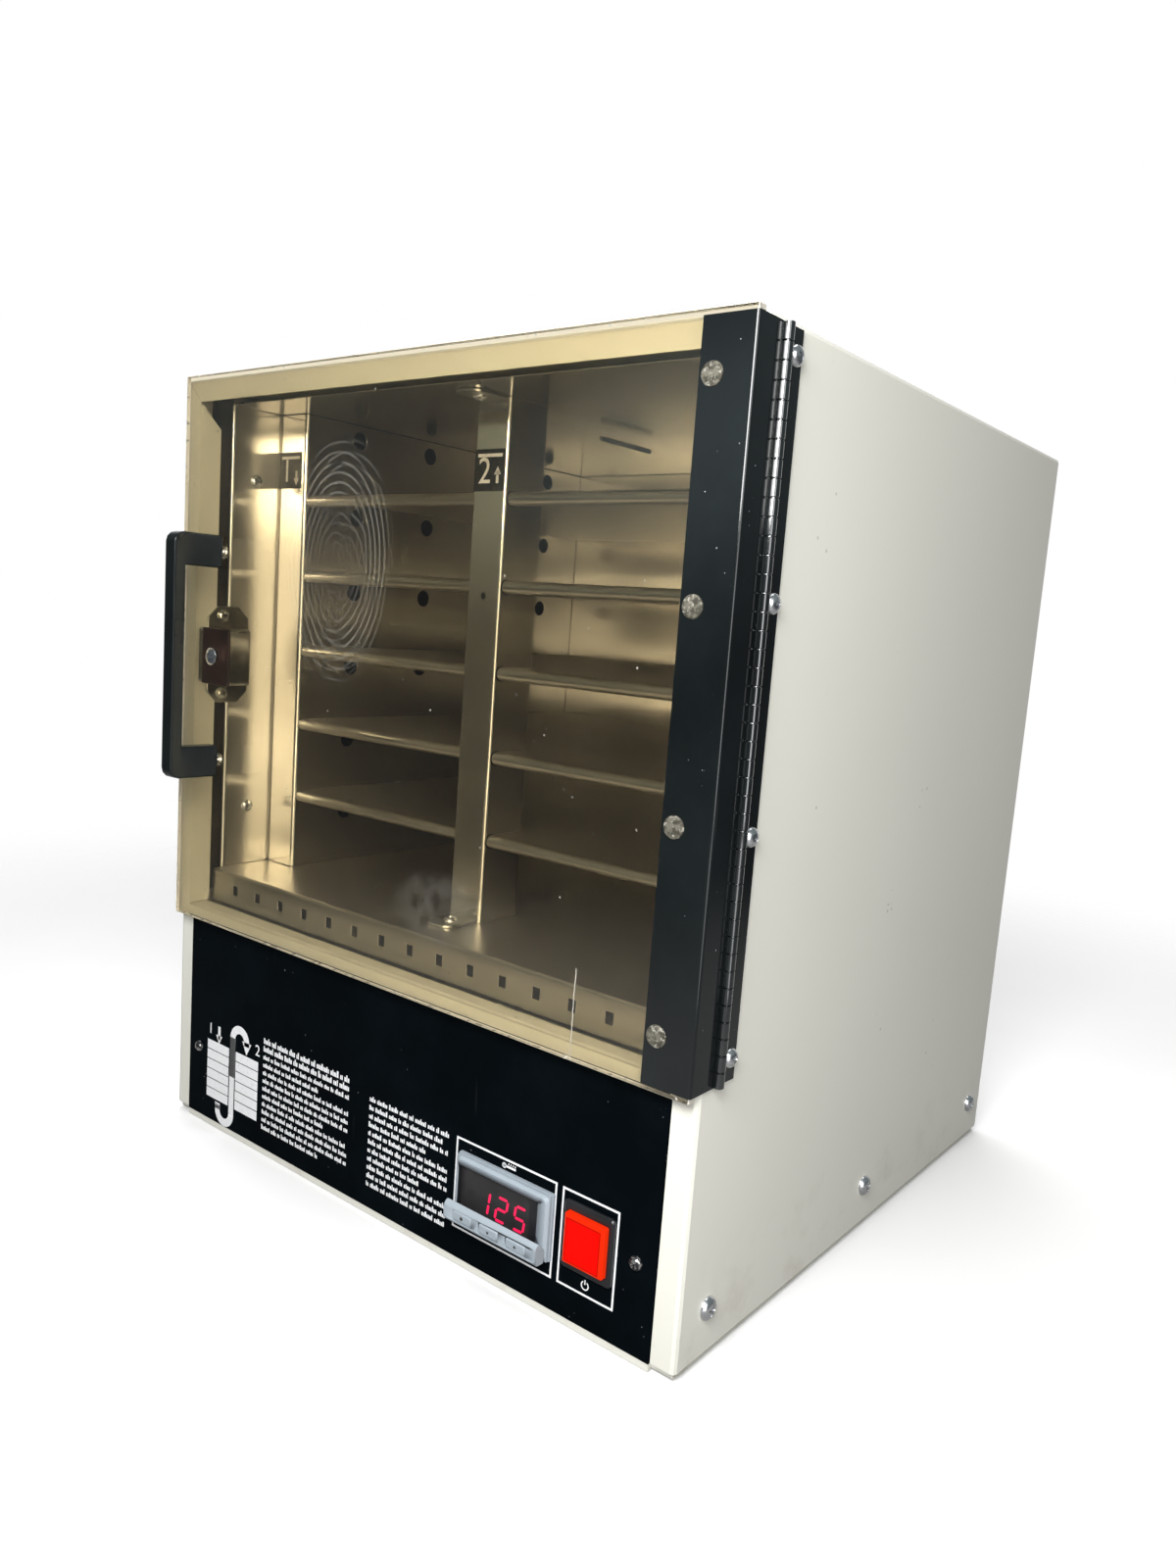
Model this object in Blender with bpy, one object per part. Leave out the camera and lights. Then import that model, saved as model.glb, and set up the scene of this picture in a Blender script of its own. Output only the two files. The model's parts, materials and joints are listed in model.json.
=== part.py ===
"""Countertop warming cabinet with a hinged tinted door, six-level rack and a control panel below."""
import math

import bmesh
import bpy
from mathutils import Matrix, Vector

# Fits shared by all pieces, metres throughout
FIT = 0.0003
RUN_FIT = 0.00015

# Outer cabinet
CABINET_WIDTH = 0.330
CABINET_DEPTH = 0.315
CABINET_HEIGHT = 0.384
BASE_DROP = 0.004
SKIN = 0.0012
SKIN_BEND = 0.002
FRONT_FLANGE = 0.011
REAR_FLANGE = 0.014
RETURN_DEPTH = 0.0117
OPENING_BOTTOM = 0.1177
REAR_PLATE_INSET = 0.002
RAIL_LEG = 0.034
RAIL_FOOT = 0.018

# Base pan and control panel
PAN_REAR_UPSTAND = 0.030
PAN_TOP_FLANGE = 0.009
PANEL_THICKNESS = 0.002
PANEL_PROUD = 0.0005
PANEL_SIDE_GAP = 0.0005
PANEL_BOTTOM = 0.0015
PANEL_SCREW_INSET = 0.0095
PANEL_SCREW_HEIGHT = 0.041

# Warm chamber
JAMB_STEP = 0.0005
CEILING_RISE = 0.002
CHAMBER_FLOOR = 0.135
CHAMBER_FRONT = 0.019
REAR_SPACE = 0.042
LINER = 0.0008
LINER_OVERHANG = 0.006
JACKET_SKIRT = 0.006
STRIP_FRONT = 0.0134
STRIP_HOLE_PITCH = 0.01905
STRIP_END = 0.015
STRIP_HOLE_WIDTH = 0.004
STRIP_HOLE_HEIGHT = 0.005
STRIP_HOLE_LEVEL = 0.1262

# Rack inside the chamber
RACK_FRONT = 0.048
DUCT_WIDTH = 0.0215
DUCT_FLANGE = 0.010
DUCT_BEND = 0.0014
AIR_HOLE = 0.0095
AIR_TOP_DROP = 0.0082
AIR_DROP = 0.0048
AIR_DROP_STEP = 0.0014
AIR_COLUMNS = 4
AIR_FIRST_COLUMN = 0.0836
AIR_LAST_GAP = 0.0334
POST_WIDTH = 0.019
POST_DEPTH = 0.025
POST_SHEET = 0.001
POST_BEND = 0.0015
POST_TAB = 0.020
POST_TAB_CORNER = 0.006
SHELF_COUNT = 5
TOP_SLOT = 0.044
SHELF_SHEET = 0.001
SHELF_ROLL = 0.0030
SHELF_TAB = 0.015
SHELF_TAB_REACH = 0.0025
SHELF_TAB_END = 0.0392

# Heating
HEATER_MARGIN_SIDE = 0.0445
HEATER_MARGIN_END = 0.037
HEATER_THICKNESS = 0.004
PROBE_LENGTH = 0.042
PROBE_RADIUS = 0.003

# Door pane and its hinge
PANE_SHORT = 0.005
PANE_OVERTOP = 0.0005
PANE_LAP = 0.0052
PANE_THICKNESS = 0.0048
PANE_STANDOFF = 0.0022
PANE_EDGE = 0.0004
HINGE_SHEET = 0.0009
HINGE_BEND = 0.0012
PIN_RADIUS = 0.0010
KNUCKLE_PITCH = 0.00635
HINGE_SHORT = 0.005
HINGE_SETBACK = 0.0090
HINGE_LEAF = 0.0125
ANGLE_FLANGE = 0.022
LEAF_SCREW_END = 0.0093
LEAF_SCREW_COUNT = 4
LEAF_SCREW_SETBACK = 0.0170
RIVET_END = 0.01905
RIVET_COUNT = 4
RIVET_INSET = 0.0150
RIVET_HEAD = 0.00425
RIVET_RISE = 0.0022
RIVET_SHANK = 0.0022
RIVET_TAIL = 0.0011

# Pull handle and magnetic catch
HANDLE_INSET = 0.031
HANDLE_WIDTH = 0.008
HANDLE_HEIGHT = 0.118
HANDLE_REACH = 0.0265
HANDLE_BAR = 0.0065
HANDLE_ARM = 0.0155
HANDLE_CORNER = 0.005
HANDLE_EDGE = 0.0008
HANDLE_SCREW_DEPTH = 0.012
STRIKE_WIDTH = 0.022
STRIKE_HEIGHT = 0.028
STRIKE_THICKNESS = 0.0015
STRIKE_INSET = 0.0260
STRIKE_BOLT_HEX = 0.0042
STRIKE_BOLT_SINK = 0.0030
CATCH_PLATE = 0.0012
CATCH_PLATE_HEIGHT = 0.050
CATCH_PLATE_FRONT = 0.006
CATCH_PLATE_DEPTH = 0.024
CATCH_CHAMFER = 0.006
CATCH_BODY_HEIGHT = 0.028
CATCH_BODY_REACH = 0.027
CATCH_BODY_DEPTH = 0.0145
CATCH_EDGE = 0.0010
CATCH_SCREW_SPAN = 0.040
CATCH_SCREW_SETBACK = 0.0148

# Screws
SIDE_SCREW_HEAD = 0.0048
SIDE_SCREW_RISE = 0.0026
SIDE_SCREW_SHANK = 0.0020
SIDE_SCREW_LENGTH = 0.008
SIDE_SCREW_HEIGHT = 0.023
SIDE_SCREW_END = 0.0195
LEAF_SCREW_HEAD = 0.0038
LEAF_SCREW_RISE = 0.0022
LEAF_SCREW_SHANK = 0.0016
PANEL_SCREW_HEAD = 0.0029
PANEL_SCREW_RISE = 0.0018
PANEL_SCREW_SHANK = 0.0014
PANEL_SCREW_LENGTH = 0.009
SMALL_SCREW_HEAD = 0.0033
SMALL_SCREW_RISE = 0.0016
SMALL_SCREW_SHANK = 0.0017

# Temperature controller
CONTROL_INSET = 0.0765
CONTROL_BOTTOM = 0.0250
CONTROL_WIDTH = 0.0512
CONTROL_HEIGHT = 0.0272
CONTROL_RISE = 0.0042
CONTROL_CORNER = 0.0020
CONTROL_BODY_WIDTH = 0.0448
CONTROL_BODY_HEIGHT = 0.0222
CONTROL_BODY_DEPTH = 0.060
LIP_HEIGHT = 0.0092
LIP_RISE = 0.0100
LIP_ROUND = 0.0026
LENS_WIDTH = 0.0440
LENS_HEIGHT = 0.0138
LENS_RISE = 0.0030
LENS_DEPTH = 0.0016
LENS_MARGIN = 0.0018
KEY_WIDTH = 0.0105
KEY_HEIGHT = 0.0042
KEY_DEPTH = 0.0035
KEY_PROUD = 0.0002
KEY_PITCH = 0.0150
KEY_TRAVEL = 0.0008
KEY_EDGE = 0.0004

# Power switch
SWITCH_INSET = 0.0320
SWITCH_HEIGHT = 0.0402
SWITCH_BEZEL_WIDTH = 0.0248
SWITCH_BEZEL_HEIGHT = 0.0284
SWITCH_BEZEL_RISE = 0.0022
SWITCH_BODY_DEPTH = 0.028
SWITCH_BODY_MARGIN = 0.0016
SWITCH_EDGE = 0.0008
BUTTON_WIDTH = 0.0200
BUTTON_HEIGHT = 0.0210
BUTTON_RISE = 0.0050
BUTTON_LENGTH = 0.0140
BUTTON_EDGE = 0.0022
BUTTON_TRAVEL = 0.0025
WELL_SPARE = 0.0010

# Rear panel
REAR_PLATE = 0.0012
REAR_CORNER = 0.004
INLET_INSET = 0.070
INLET_HEIGHT = 0.050
INLET_FLANGE_WIDTH = 0.050
INLET_FLANGE_HEIGHT = 0.028
INLET_FLANGE = 0.003
INLET_BODY_WIDTH = 0.030
INLET_BODY_HEIGHT = 0.022
INLET_BODY_DEPTH = 0.022
INLET_WELL_WIDTH = 0.0245
INLET_WELL_HEIGHT = 0.0165
INLET_WELL_DEPTH = 0.016
VENT_COUNT = 8
VENT_PITCH = 0.009
VENT_WIDTH = 0.003
VENT_LENGTH = 0.036
VENT_X = -0.060
VENT_HEIGHT = 0.055

# Roundness of turned and bent shapes
TURN_STEPS = 12
HOLE_STEPS = 12
BEND_STEPS = 3
CURL_STEPS = 8
ROLL_STEPS = 8
DOME_STEPS = 3

# Places that follow from the sizes above
FRONT = -CABINET_DEPTH / 2
BACK = CABINET_DEPTH / 2
SIDE = CABINET_WIDTH / 2
OPENING_SIDE = SIDE - FRONT_FLANGE
CHAMBER_SIDE = OPENING_SIDE + JAMB_STEP
CHAMBER_TOP = CABINET_HEIGHT - FRONT_FLANGE + CEILING_RISE
CHAMBER_BACK = CABINET_DEPTH - REAR_SPACE
RACK_SIDE = CHAMBER_SIDE - DUCT_WIDTH
SHELF_PITCH = (CHAMBER_TOP - CHAMBER_FLOOR - TOP_SLOT) / SHELF_COUNT
AIR_COLUMN_PITCH = (CHAMBER_BACK - AIR_LAST_GAP - AIR_FIRST_COLUMN) / (AIR_COLUMNS - 1)
STRIP_HOLE_COUNT = 2 * int((CHAMBER_SIDE - STRIP_END) / STRIP_HOLE_PITCH) + 1
SIDE_SCREW_PITCH = CABINET_DEPTH / 2 - SIDE_SCREW_END
PANEL_SCREW_REACH = OPENING_SIDE - PANEL_SCREW_INSET
CONTROL_X = OPENING_SIDE - CONTROL_INSET
SWITCH_X = OPENING_SIDE - SWITCH_INSET
INLET_X = SIDE - INLET_INSET
CURL_INNER = PIN_RADIUS + RUN_FIT
CURL_OUTER = CURL_INNER + HINGE_SHEET
PIN_X = SIDE + FIT + CURL_OUTER
PIN_Y = FRONT + HINGE_SETBACK
PANE_BACK = FRONT - PANE_STANDOFF
PANE_FRONT = PANE_BACK - PANE_THICKNESS
PANE_BOTTOM = OPENING_BOTTOM - PANE_LAP
PANE_HEIGHT = CABINET_HEIGHT + PANE_OVERTOP - PANE_BOTTOM
PANE_MIDDLE = PANE_BOTTOM + PANE_HEIGHT / 2
PANE_FREE = PANE_SHORT - SIDE
KNUCKLE_COUNT = 2 * int((PANE_HEIGHT - HINGE_SHORT) / (2 * KNUCKLE_PITCH))
HINGE_LENGTH = KNUCKLE_PITCH * KNUCKLE_COUNT
LEAF_SCREW_PITCH = (HINGE_LENGTH - 2 * LEAF_SCREW_END) / (LEAF_SCREW_COUNT - 1)
RIVET_PITCH = (HINGE_LENGTH - 2 * RIVET_END) / (RIVET_COUNT - 1)
HINGE_BOTTOM = PANE_MIDDLE - HINGE_LENGTH / 2
ANGLE_FRONT = PANE_FRONT - FIT - HINGE_SHEET
PANEL_FRONT = FRONT - PANEL_PROUD
PANEL_BACK = PANEL_FRONT + PANEL_THICKNESS
PAN_WALL = PANEL_BACK + FIT
PANEL_TOP = OPENING_BOTTOM - FIT
SHELF_FRONT = FRONT + RACK_FRONT + POST_SHEET + FIT


def clear_scene():
    """Remove whatever the new file holds."""
    for item in list(bpy.data.objects):
        bpy.data.objects.remove(item, do_unlink=True)
    for mesh in list(bpy.data.meshes):
        bpy.data.meshes.remove(mesh)


def material(name, colour, roughness, metallic=0.0):
    """One plain Principled material."""
    mat = bpy.data.materials.new(name)
    mat.use_nodes = True
    shader = mat.node_tree.nodes["Principled BSDF"]
    shader.inputs["Base Color"].default_value = (*colour, 1.0)
    shader.inputs["Roughness"].default_value = roughness
    shader.inputs["Metallic"].default_value = metallic
    mat.diffuse_color = (*colour, 1.0)
    return mat


def place(name, bm, mat, parent, location=(0.0, 0.0, 0.0), rotation=None, smooth=None):
    """Turn a closed bmesh into a named object under its parent."""
    bmesh.ops.recalc_face_normals(bm, faces=bm.faces[:])
    mesh = bpy.data.meshes.new(name)
    bm.to_mesh(mesh)
    bm.free()
    item = bpy.data.objects.new(name, mesh)
    bpy.context.scene.collection.objects.link(item)
    item.location = location
    if rotation is not None:
        item.rotation_euler = rotation.to_euler()
    if mat is not None:
        mesh.materials.append(mat)
    item.parent = parent
    if smooth is not None:
        mesh.shade_smooth()
        mesh.set_sharp_from_angle(angle=math.radians(smooth))
    return item


def axis_point(axis, u, v, along):
    """Map outline coordinates and a distance along an axis to space."""
    if axis == "X":
        return Vector((along, u, v))
    if axis == "Y":
        return Vector((u, along, v))
    return Vector((u, v, along))


def add_prism(bm, outline, axis, start, end):
    """Add a straight prism over a closed outline."""
    near = [bm.verts.new(axis_point(axis, u, v, start)) for u, v in outline]
    far = [bm.verts.new(axis_point(axis, u, v, end)) for u, v in outline]
    count = len(outline)
    faces = [bm.faces.new(near), bm.faces.new(far)]
    for i in range(count):
        j = (i + 1) % count
        faces.append(bm.faces.new((near[i], near[j], far[j], far[i])))
    bmesh.ops.recalc_face_normals(bm, faces=faces)
    return near + far


def prism(outline, axis, start, end):
    """A new bmesh with one prism."""
    bm = bmesh.new()
    add_prism(bm, outline, axis, start, end)
    return bm


def add_box(bm, low, high):
    """Add a box between two corners."""
    outline = [(low[0], low[1]), (high[0], low[1]), (high[0], high[1]), (low[0], high[1])]
    return add_prism(bm, outline, "Z", low[2], high[2])


def box(low, high, edge=0.0, steps=1):
    """A new bmesh with one box, its edges eased when asked."""
    bm = bmesh.new()
    add_box(bm, low, high)
    if edge > 0.0:
        bmesh.ops.bevel(bm, geom=bm.edges[:], offset=edge, segments=steps, profile=0.5,
                        affect="EDGES", material=-1)
    return bm


def add_rod(bm, start, direction, radius, length, steps):
    """Add a closed cylinder from a point along a direction."""
    turn = Vector((0, 0, 1)).rotation_difference(Vector(direction)).to_matrix().to_4x4()
    spot = Matrix.Translation(Vector(start)) @ turn @ Matrix.Translation((0, 0, length / 2))
    bmesh.ops.create_cone(bm, cap_ends=True, segments=steps, radius1=radius, radius2=radius,
                          depth=length, matrix=spot)


def turned(profile, steps):
    """A closed bmesh spun from a radius and height profile that starts and ends on the axis."""
    bm = bmesh.new()
    rings = []
    for radius, height in profile:
        if radius == 0.0:
            rings.append([bm.verts.new((0, 0, height))])
            continue
        ring = []
        for i in range(steps):
            turn = 2 * math.pi * i / steps
            ring.append(bm.verts.new((radius * math.cos(turn), radius * math.sin(turn), height)))
        rings.append(ring)
    for lower, upper in zip(rings, rings[1:]):
        for i in range(steps):
            j = (i + 1) % steps
            if len(lower) == 1:
                bm.faces.new((lower[0], upper[i], upper[j]))
            elif len(upper) == 1:
                bm.faces.new((lower[i], lower[j], upper[0]))
            else:
                bm.faces.new((lower[i], lower[j], upper[j], upper[i]))
    return bm


def dome(head, rise):
    """Profile of a low dome from its top centre down to its rim."""
    points = [(0.0, rise)]
    for i in range(1, DOME_STEPS):
        turn = math.pi / 2 * i / DOME_STEPS
        points.append((head * math.sin(turn), rise * math.cos(turn)))
    points.append((head, 0.0))
    return points


def screw(head, rise, shank, length):
    """A dome-headed screw whose seat is at height zero and whose shank points down."""
    return turned(dome(head, rise) + [(shank, 0.0), (shank, -length), (0.0, -length)], TURN_STEPS)


def arc(centre_u, centre_v, radius, start, end, steps):
    """Points on an arc, angles in degrees."""
    points = []
    for i in range(steps + 1):
        turn = math.radians(start + (end - start) * i / steps)
        points.append((centre_u + radius * math.cos(turn), centre_v + radius * math.sin(turn)))
    return points


def rounded(low, high, radius, steps=BEND_STEPS):
    """Outline of a rectangle with round corners."""
    points = arc(high[0] - radius, high[1] - radius, radius, 0, 90, steps)
    points += arc(low[0] + radius, high[1] - radius, radius, 90, 180, steps)
    points += arc(low[0] + radius, low[1] + radius, radius, 180, 270, steps)
    points += arc(high[0] - radius, low[1] + radius, radius, 270, 360, steps)
    return points


def centred(u, v, width, height, radius):
    """Round-cornered outline about a centre."""
    return rounded((u - width / 2, v - height / 2), (u + width / 2, v + height / 2), radius)


def loft(stations):
    """Closed body through outlines of equal count standing at places along Y."""
    bm = bmesh.new()
    rings = []
    for outline, y in stations:
        rings.append([bm.verts.new((u, y, v)) for u, v in outline])
    count = len(rings[0])
    bm.faces.new(rings[0])
    bm.faces.new(rings[-1])
    for lower, upper in zip(rings, rings[1:]):
        for i in range(count):
            j = (i + 1) % count
            bm.faces.new((lower[i], lower[j], upper[j], upper[i]))
    return bm


def strip_outline(path, sheet, bend):
    """Outline of a bent strip of sheet about a middle line with round bends."""
    line = [Vector(path[0])]
    for before, corner, after in zip(path, path[1:], path[2:]):
        spot = Vector(corner)
        back = (Vector(before) - spot).normalized()
        ahead = (Vector(after) - spot).normalized()
        half = back.angle(ahead) / 2
        reach = bend / math.tan(half)
        centre = spot + (back + ahead).normalized() * (bend / math.sin(half))
        first = spot + back * reach - centre
        last = spot + ahead * reach - centre
        swing = first.angle_signed(last)
        for i in range(BEND_STEPS + 1):
            turn = Matrix.Rotation(-swing * i / BEND_STEPS, 2)
            line.append(centre + turn @ first)
    line.append(Vector(path[-1]))
    left = []
    right = []
    for i, spot in enumerate(line):
        ahead = line[min(i + 1, len(line) - 1)] - line[max(i - 1, 0)]
        if 0 < i < len(line) - 1:
            ahead = (line[i + 1] - spot).normalized() + (spot - line[i - 1]).normalized()
        ahead.normalize()
        across = Vector((-ahead.y, ahead.x)) * (sheet / 2)
        left.append(tuple(spot + across))
        right.append(tuple(spot - across))
    return left + right[::-1]


def drill(item, bm, operation="DIFFERENCE"):
    """Cut a bmesh out of an object, or weld it on, and keep it as a hidden tool."""
    tool = place(item.name + "_tool", bm, None, item.parent)
    tool.hide_render = True
    tool.display_type = "WIRE"
    step = item.modifiers.new("shape", "BOOLEAN")
    step.operation = operation
    step.solver = "EXACT"
    step.object = tool


def levels(middle, pitch, count):
    """Evenly spaced places about a middle."""
    return [middle + pitch * (i - (count - 1) / 2) for i in range(count)]


def toward(direction):
    """Rotation that carries +Z to a direction."""
    return Vector((0, 0, 1)).rotation_difference(Vector(direction))


def build_wrapper(root, mat):
    """Top, sides and flanges of the outer skin, folded from one sheet."""
    top = CABINET_HEIGHT
    low = BASE_DROP
    rim = top - FRONT_FLANGE
    rear_rim = top - REAR_FLANGE
    end = OPENING_BOTTOM
    faces = [[(-SIDE, FRONT, top), (SIDE, FRONT, top), (SIDE, BACK, top), (-SIDE, BACK, top)]]
    faces.append([(-SIDE, FRONT, top), (-OPENING_SIDE, FRONT, rim), (OPENING_SIDE, FRONT, rim),
                  (SIDE, FRONT, top)])
    rear_x = SIDE - REAR_FLANGE
    faces.append([(SIDE, BACK, top), (rear_x, BACK, rear_rim), (-rear_x, BACK, rear_rim),
                  (-SIDE, BACK, top)])
    for way in (-1, 1):
        outer = way * SIDE
        inner = way * OPENING_SIDE
        hem = FRONT + RETURN_DEPTH
        faces.append([(outer, FRONT, low), (outer, FRONT, top), (outer, BACK, top), (outer, BACK, low)])
        faces.append([(outer, FRONT, top), (outer, FRONT, low), (inner, FRONT, low),
                      (inner, FRONT, end - SKIN), (inner, FRONT, end), (inner, FRONT, rim)])
        faces.append([(inner, FRONT, rim), (inner, FRONT, end), (inner, hem, end),
                      (inner, hem, rim - RETURN_DEPTH)])
        faces.append([(outer, BACK, top), (outer, BACK, low), (way * rear_x, BACK, low),
                      (way * rear_x, BACK, rear_rim)])
    bm = bmesh.new()
    spots = {}
    for face in faces:
        corners = []
        for spot in face:
            key = tuple(round(value, 6) for value in spot)
            if key not in spots:
                spots[key] = bm.verts.new(spot)
            corners.append(spots[key])
        bm.faces.new(corners)
    bmesh.ops.recalc_face_normals(bm, faces=bm.faces[:])
    bm.faces.ensure_lookup_table()
    if bm.faces[0].normal.z < 0:
        bmesh.ops.reverse_faces(bm, faces=bm.faces[:])
    bends = []
    for edge in bm.edges:
        outside = all(abs(abs(v.co.x) - SIDE) < FIT or abs(v.co.z - top) < FIT for v in edge.verts)
        if outside and len(edge.link_faces) == 2 and edge.calc_face_angle() > 1.0:
            bends.append(edge)
    bmesh.ops.bevel(bm, geom=bends, offset=SKIN_BEND, segments=2, profile=0.5, affect="EDGES", material=-1)
    mesh = bpy.data.meshes.new("outer_wrapper")
    bm.to_mesh(mesh)
    bm.free()
    item = bpy.data.objects.new("outer_wrapper", mesh)
    bpy.context.scene.collection.objects.link(item)
    item.parent = root
    mesh.materials.append(mat)
    mesh.shade_smooth()
    mesh.set_sharp_from_angle(angle=math.radians(50))
    fold = item.modifiers.new("sheet", "SOLIDIFY")
    fold.thickness = SKIN
    fold.offset = -1.0
    fold.solidify_mode = "NON_MANIFOLD"
    fold.nonmanifold_thickness_mode = "CONSTRAINTS"
    cut = bmesh.new()
    for way in (-1, 1):
        for y in levels(0.0, SIDE_SCREW_PITCH, 3):
            add_rod(cut, (way * (SIDE + SKIN), y, SIDE_SCREW_HEIGHT), (-way, 0, 0),
                    SIDE_SCREW_SHANK + FIT, 3 * SKIN, HOLE_STEPS)
    for z in levels(PANE_MIDDLE, LEAF_SCREW_PITCH, LEAF_SCREW_COUNT):
        add_rod(cut, (SIDE + SKIN, FRONT + LEAF_SCREW_SETBACK, z), (-1, 0, 0),
                LEAF_SCREW_SHANK + FIT, 3 * SKIN, HOLE_STEPS)
    drill(item, cut)


def build_base(root, cream, black):
    """Base pan, side rails and the black control panel."""
    half = SIDE - SKIN - FIT
    rear = BACK - SKIN - 2 * FIT
    middle = SKIN / 2
    shelf_level = PANEL_TOP - middle
    path = [(rear - middle, PAN_REAR_UPSTAND), (rear - middle, middle), (PAN_WALL + middle, middle),
            (PAN_WALL + middle, shelf_level), (PAN_WALL + PAN_TOP_FLANGE, shelf_level)]
    pan = place("base_pan", prism(strip_outline(path, SKIN, SKIN_BEND - middle), "X", FIT - half, half - FIT),
                cream, root)
    cut = bmesh.new()
    reach = 4 * SKIN
    deep = PAN_WALL + reach
    near = PAN_WALL - SKIN
    control_low = CONTROL_BOTTOM + (CONTROL_HEIGHT - CONTROL_BODY_HEIGHT) / 2
    add_box(cut, (CONTROL_X - CONTROL_BODY_WIDTH / 2 - FIT, near, control_low - FIT),
            (CONTROL_X + CONTROL_BODY_WIDTH / 2 + FIT, deep, control_low + CONTROL_BODY_HEIGHT + FIT))
    switch_half = SWITCH_BEZEL_WIDTH / 2 - SWITCH_BODY_MARGIN + FIT
    switch_tall = SWITCH_BEZEL_HEIGHT / 2 - SWITCH_BODY_MARGIN + FIT
    add_box(cut, (SWITCH_X - switch_half, near, SWITCH_HEIGHT - switch_tall),
            (SWITCH_X + switch_half, deep, SWITCH_HEIGHT + switch_tall))
    for way in (-1, 1):
        add_rod(cut, (way * PANEL_SCREW_REACH, near, PANEL_SCREW_HEIGHT), (0, 1, 0),
                PANEL_SCREW_SHANK + FIT, reach, HOLE_STEPS)
    drill(pan, cut)
    for side, way in (("left", -1), ("right", 1)):
        leg = way * (half - middle)
        foot = SKIN + FIT + middle
        path = [(leg, RAIL_LEG), (leg, foot), (leg - way * RAIL_FOOT, foot)]
        start = PAN_WALL + SKIN + FIT
        end = rear - SKIN - FIT
        rail = place("base_rail_" + side, prism(strip_outline(path, SKIN, SKIN_BEND - middle), "Y", start, end),
                     cream, root)
        cut = bmesh.new()
        for y in levels(0.0, SIDE_SCREW_PITCH, 3):
            add_rod(cut, (way * (half + SKIN), y, SIDE_SCREW_HEIGHT), (-way, 0, 0),
                    SIDE_SCREW_SHANK + FIT, 3 * SKIN, HOLE_STEPS)
        drill(rail, cut)
    wide = OPENING_SIDE - PANEL_SIDE_GAP
    panel = place("control_panel", box((-wide, PANEL_FRONT, PANEL_BOTTOM), (wide, PANEL_BACK, PANEL_TOP)),
                  black, root)
    cut = bmesh.new()
    near = PANEL_FRONT - PANEL_THICKNESS
    deep = PANEL_BACK + PANEL_THICKNESS
    add_box(cut, (CONTROL_X - CONTROL_BODY_WIDTH / 2 - FIT, near, control_low - FIT),
            (CONTROL_X + CONTROL_BODY_WIDTH / 2 + FIT, deep, control_low + CONTROL_BODY_HEIGHT + FIT))
    add_box(cut, (SWITCH_X - switch_half, near, SWITCH_HEIGHT - switch_tall),
            (SWITCH_X + switch_half, deep, SWITCH_HEIGHT + switch_tall))
    for way in (-1, 1):
        add_rod(cut, (way * PANEL_SCREW_REACH, near, PANEL_SCREW_HEIGHT), (0, 1, 0),
                PANEL_SCREW_SHANK + FIT, deep - near, HOLE_STEPS)
    drill(panel, cut)


def build_rear(root, cream, black):
    """Rear panel with vents and the power inlet."""
    half = SIDE - REAR_PLATE_INSET
    front = BACK + FIT
    outline = rounded((-half, BASE_DROP + REAR_PLATE_INSET), (half, CABINET_HEIGHT - REAR_PLATE_INSET), REAR_CORNER)
    panel = place("rear_panel", prism(outline, "Y", front, front + REAR_PLATE), cream, root)
    cut = bmesh.new()
    near = front - REAR_PLATE
    deep = front + 2 * REAR_PLATE
    add_box(cut, (INLET_X - INLET_BODY_WIDTH / 2 - FIT, near, INLET_HEIGHT - INLET_BODY_HEIGHT / 2 - FIT),
            (INLET_X + INLET_BODY_WIDTH / 2 + FIT, deep, INLET_HEIGHT + INLET_BODY_HEIGHT / 2 + FIT))
    for x in levels(VENT_X, VENT_PITCH, VENT_COUNT):
        add_box(cut, (x - VENT_WIDTH / 2, near, VENT_HEIGHT - VENT_LENGTH / 2),
                (x + VENT_WIDTH / 2, deep, VENT_HEIGHT + VENT_LENGTH / 2))
    drill(panel, cut)
    seat = front + REAR_PLATE + FIT
    body = centred(INLET_X, INLET_HEIGHT, INLET_BODY_WIDTH, INLET_BODY_HEIGHT, REAR_CORNER / 2)
    flange = centred(INLET_X, INLET_HEIGHT, INLET_FLANGE_WIDTH, INLET_FLANGE_HEIGHT, REAR_CORNER)
    well = centred(INLET_X, INLET_HEIGHT, INLET_WELL_WIDTH, INLET_WELL_HEIGHT, REAR_CORNER / 2)
    face = seat + INLET_FLANGE
    place("power_inlet", loft([(body, seat - INLET_BODY_DEPTH), (body, seat), (flange, seat), (flange, face),
                               (well, face), (well, face - INLET_WELL_DEPTH)]), black, root)


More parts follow.
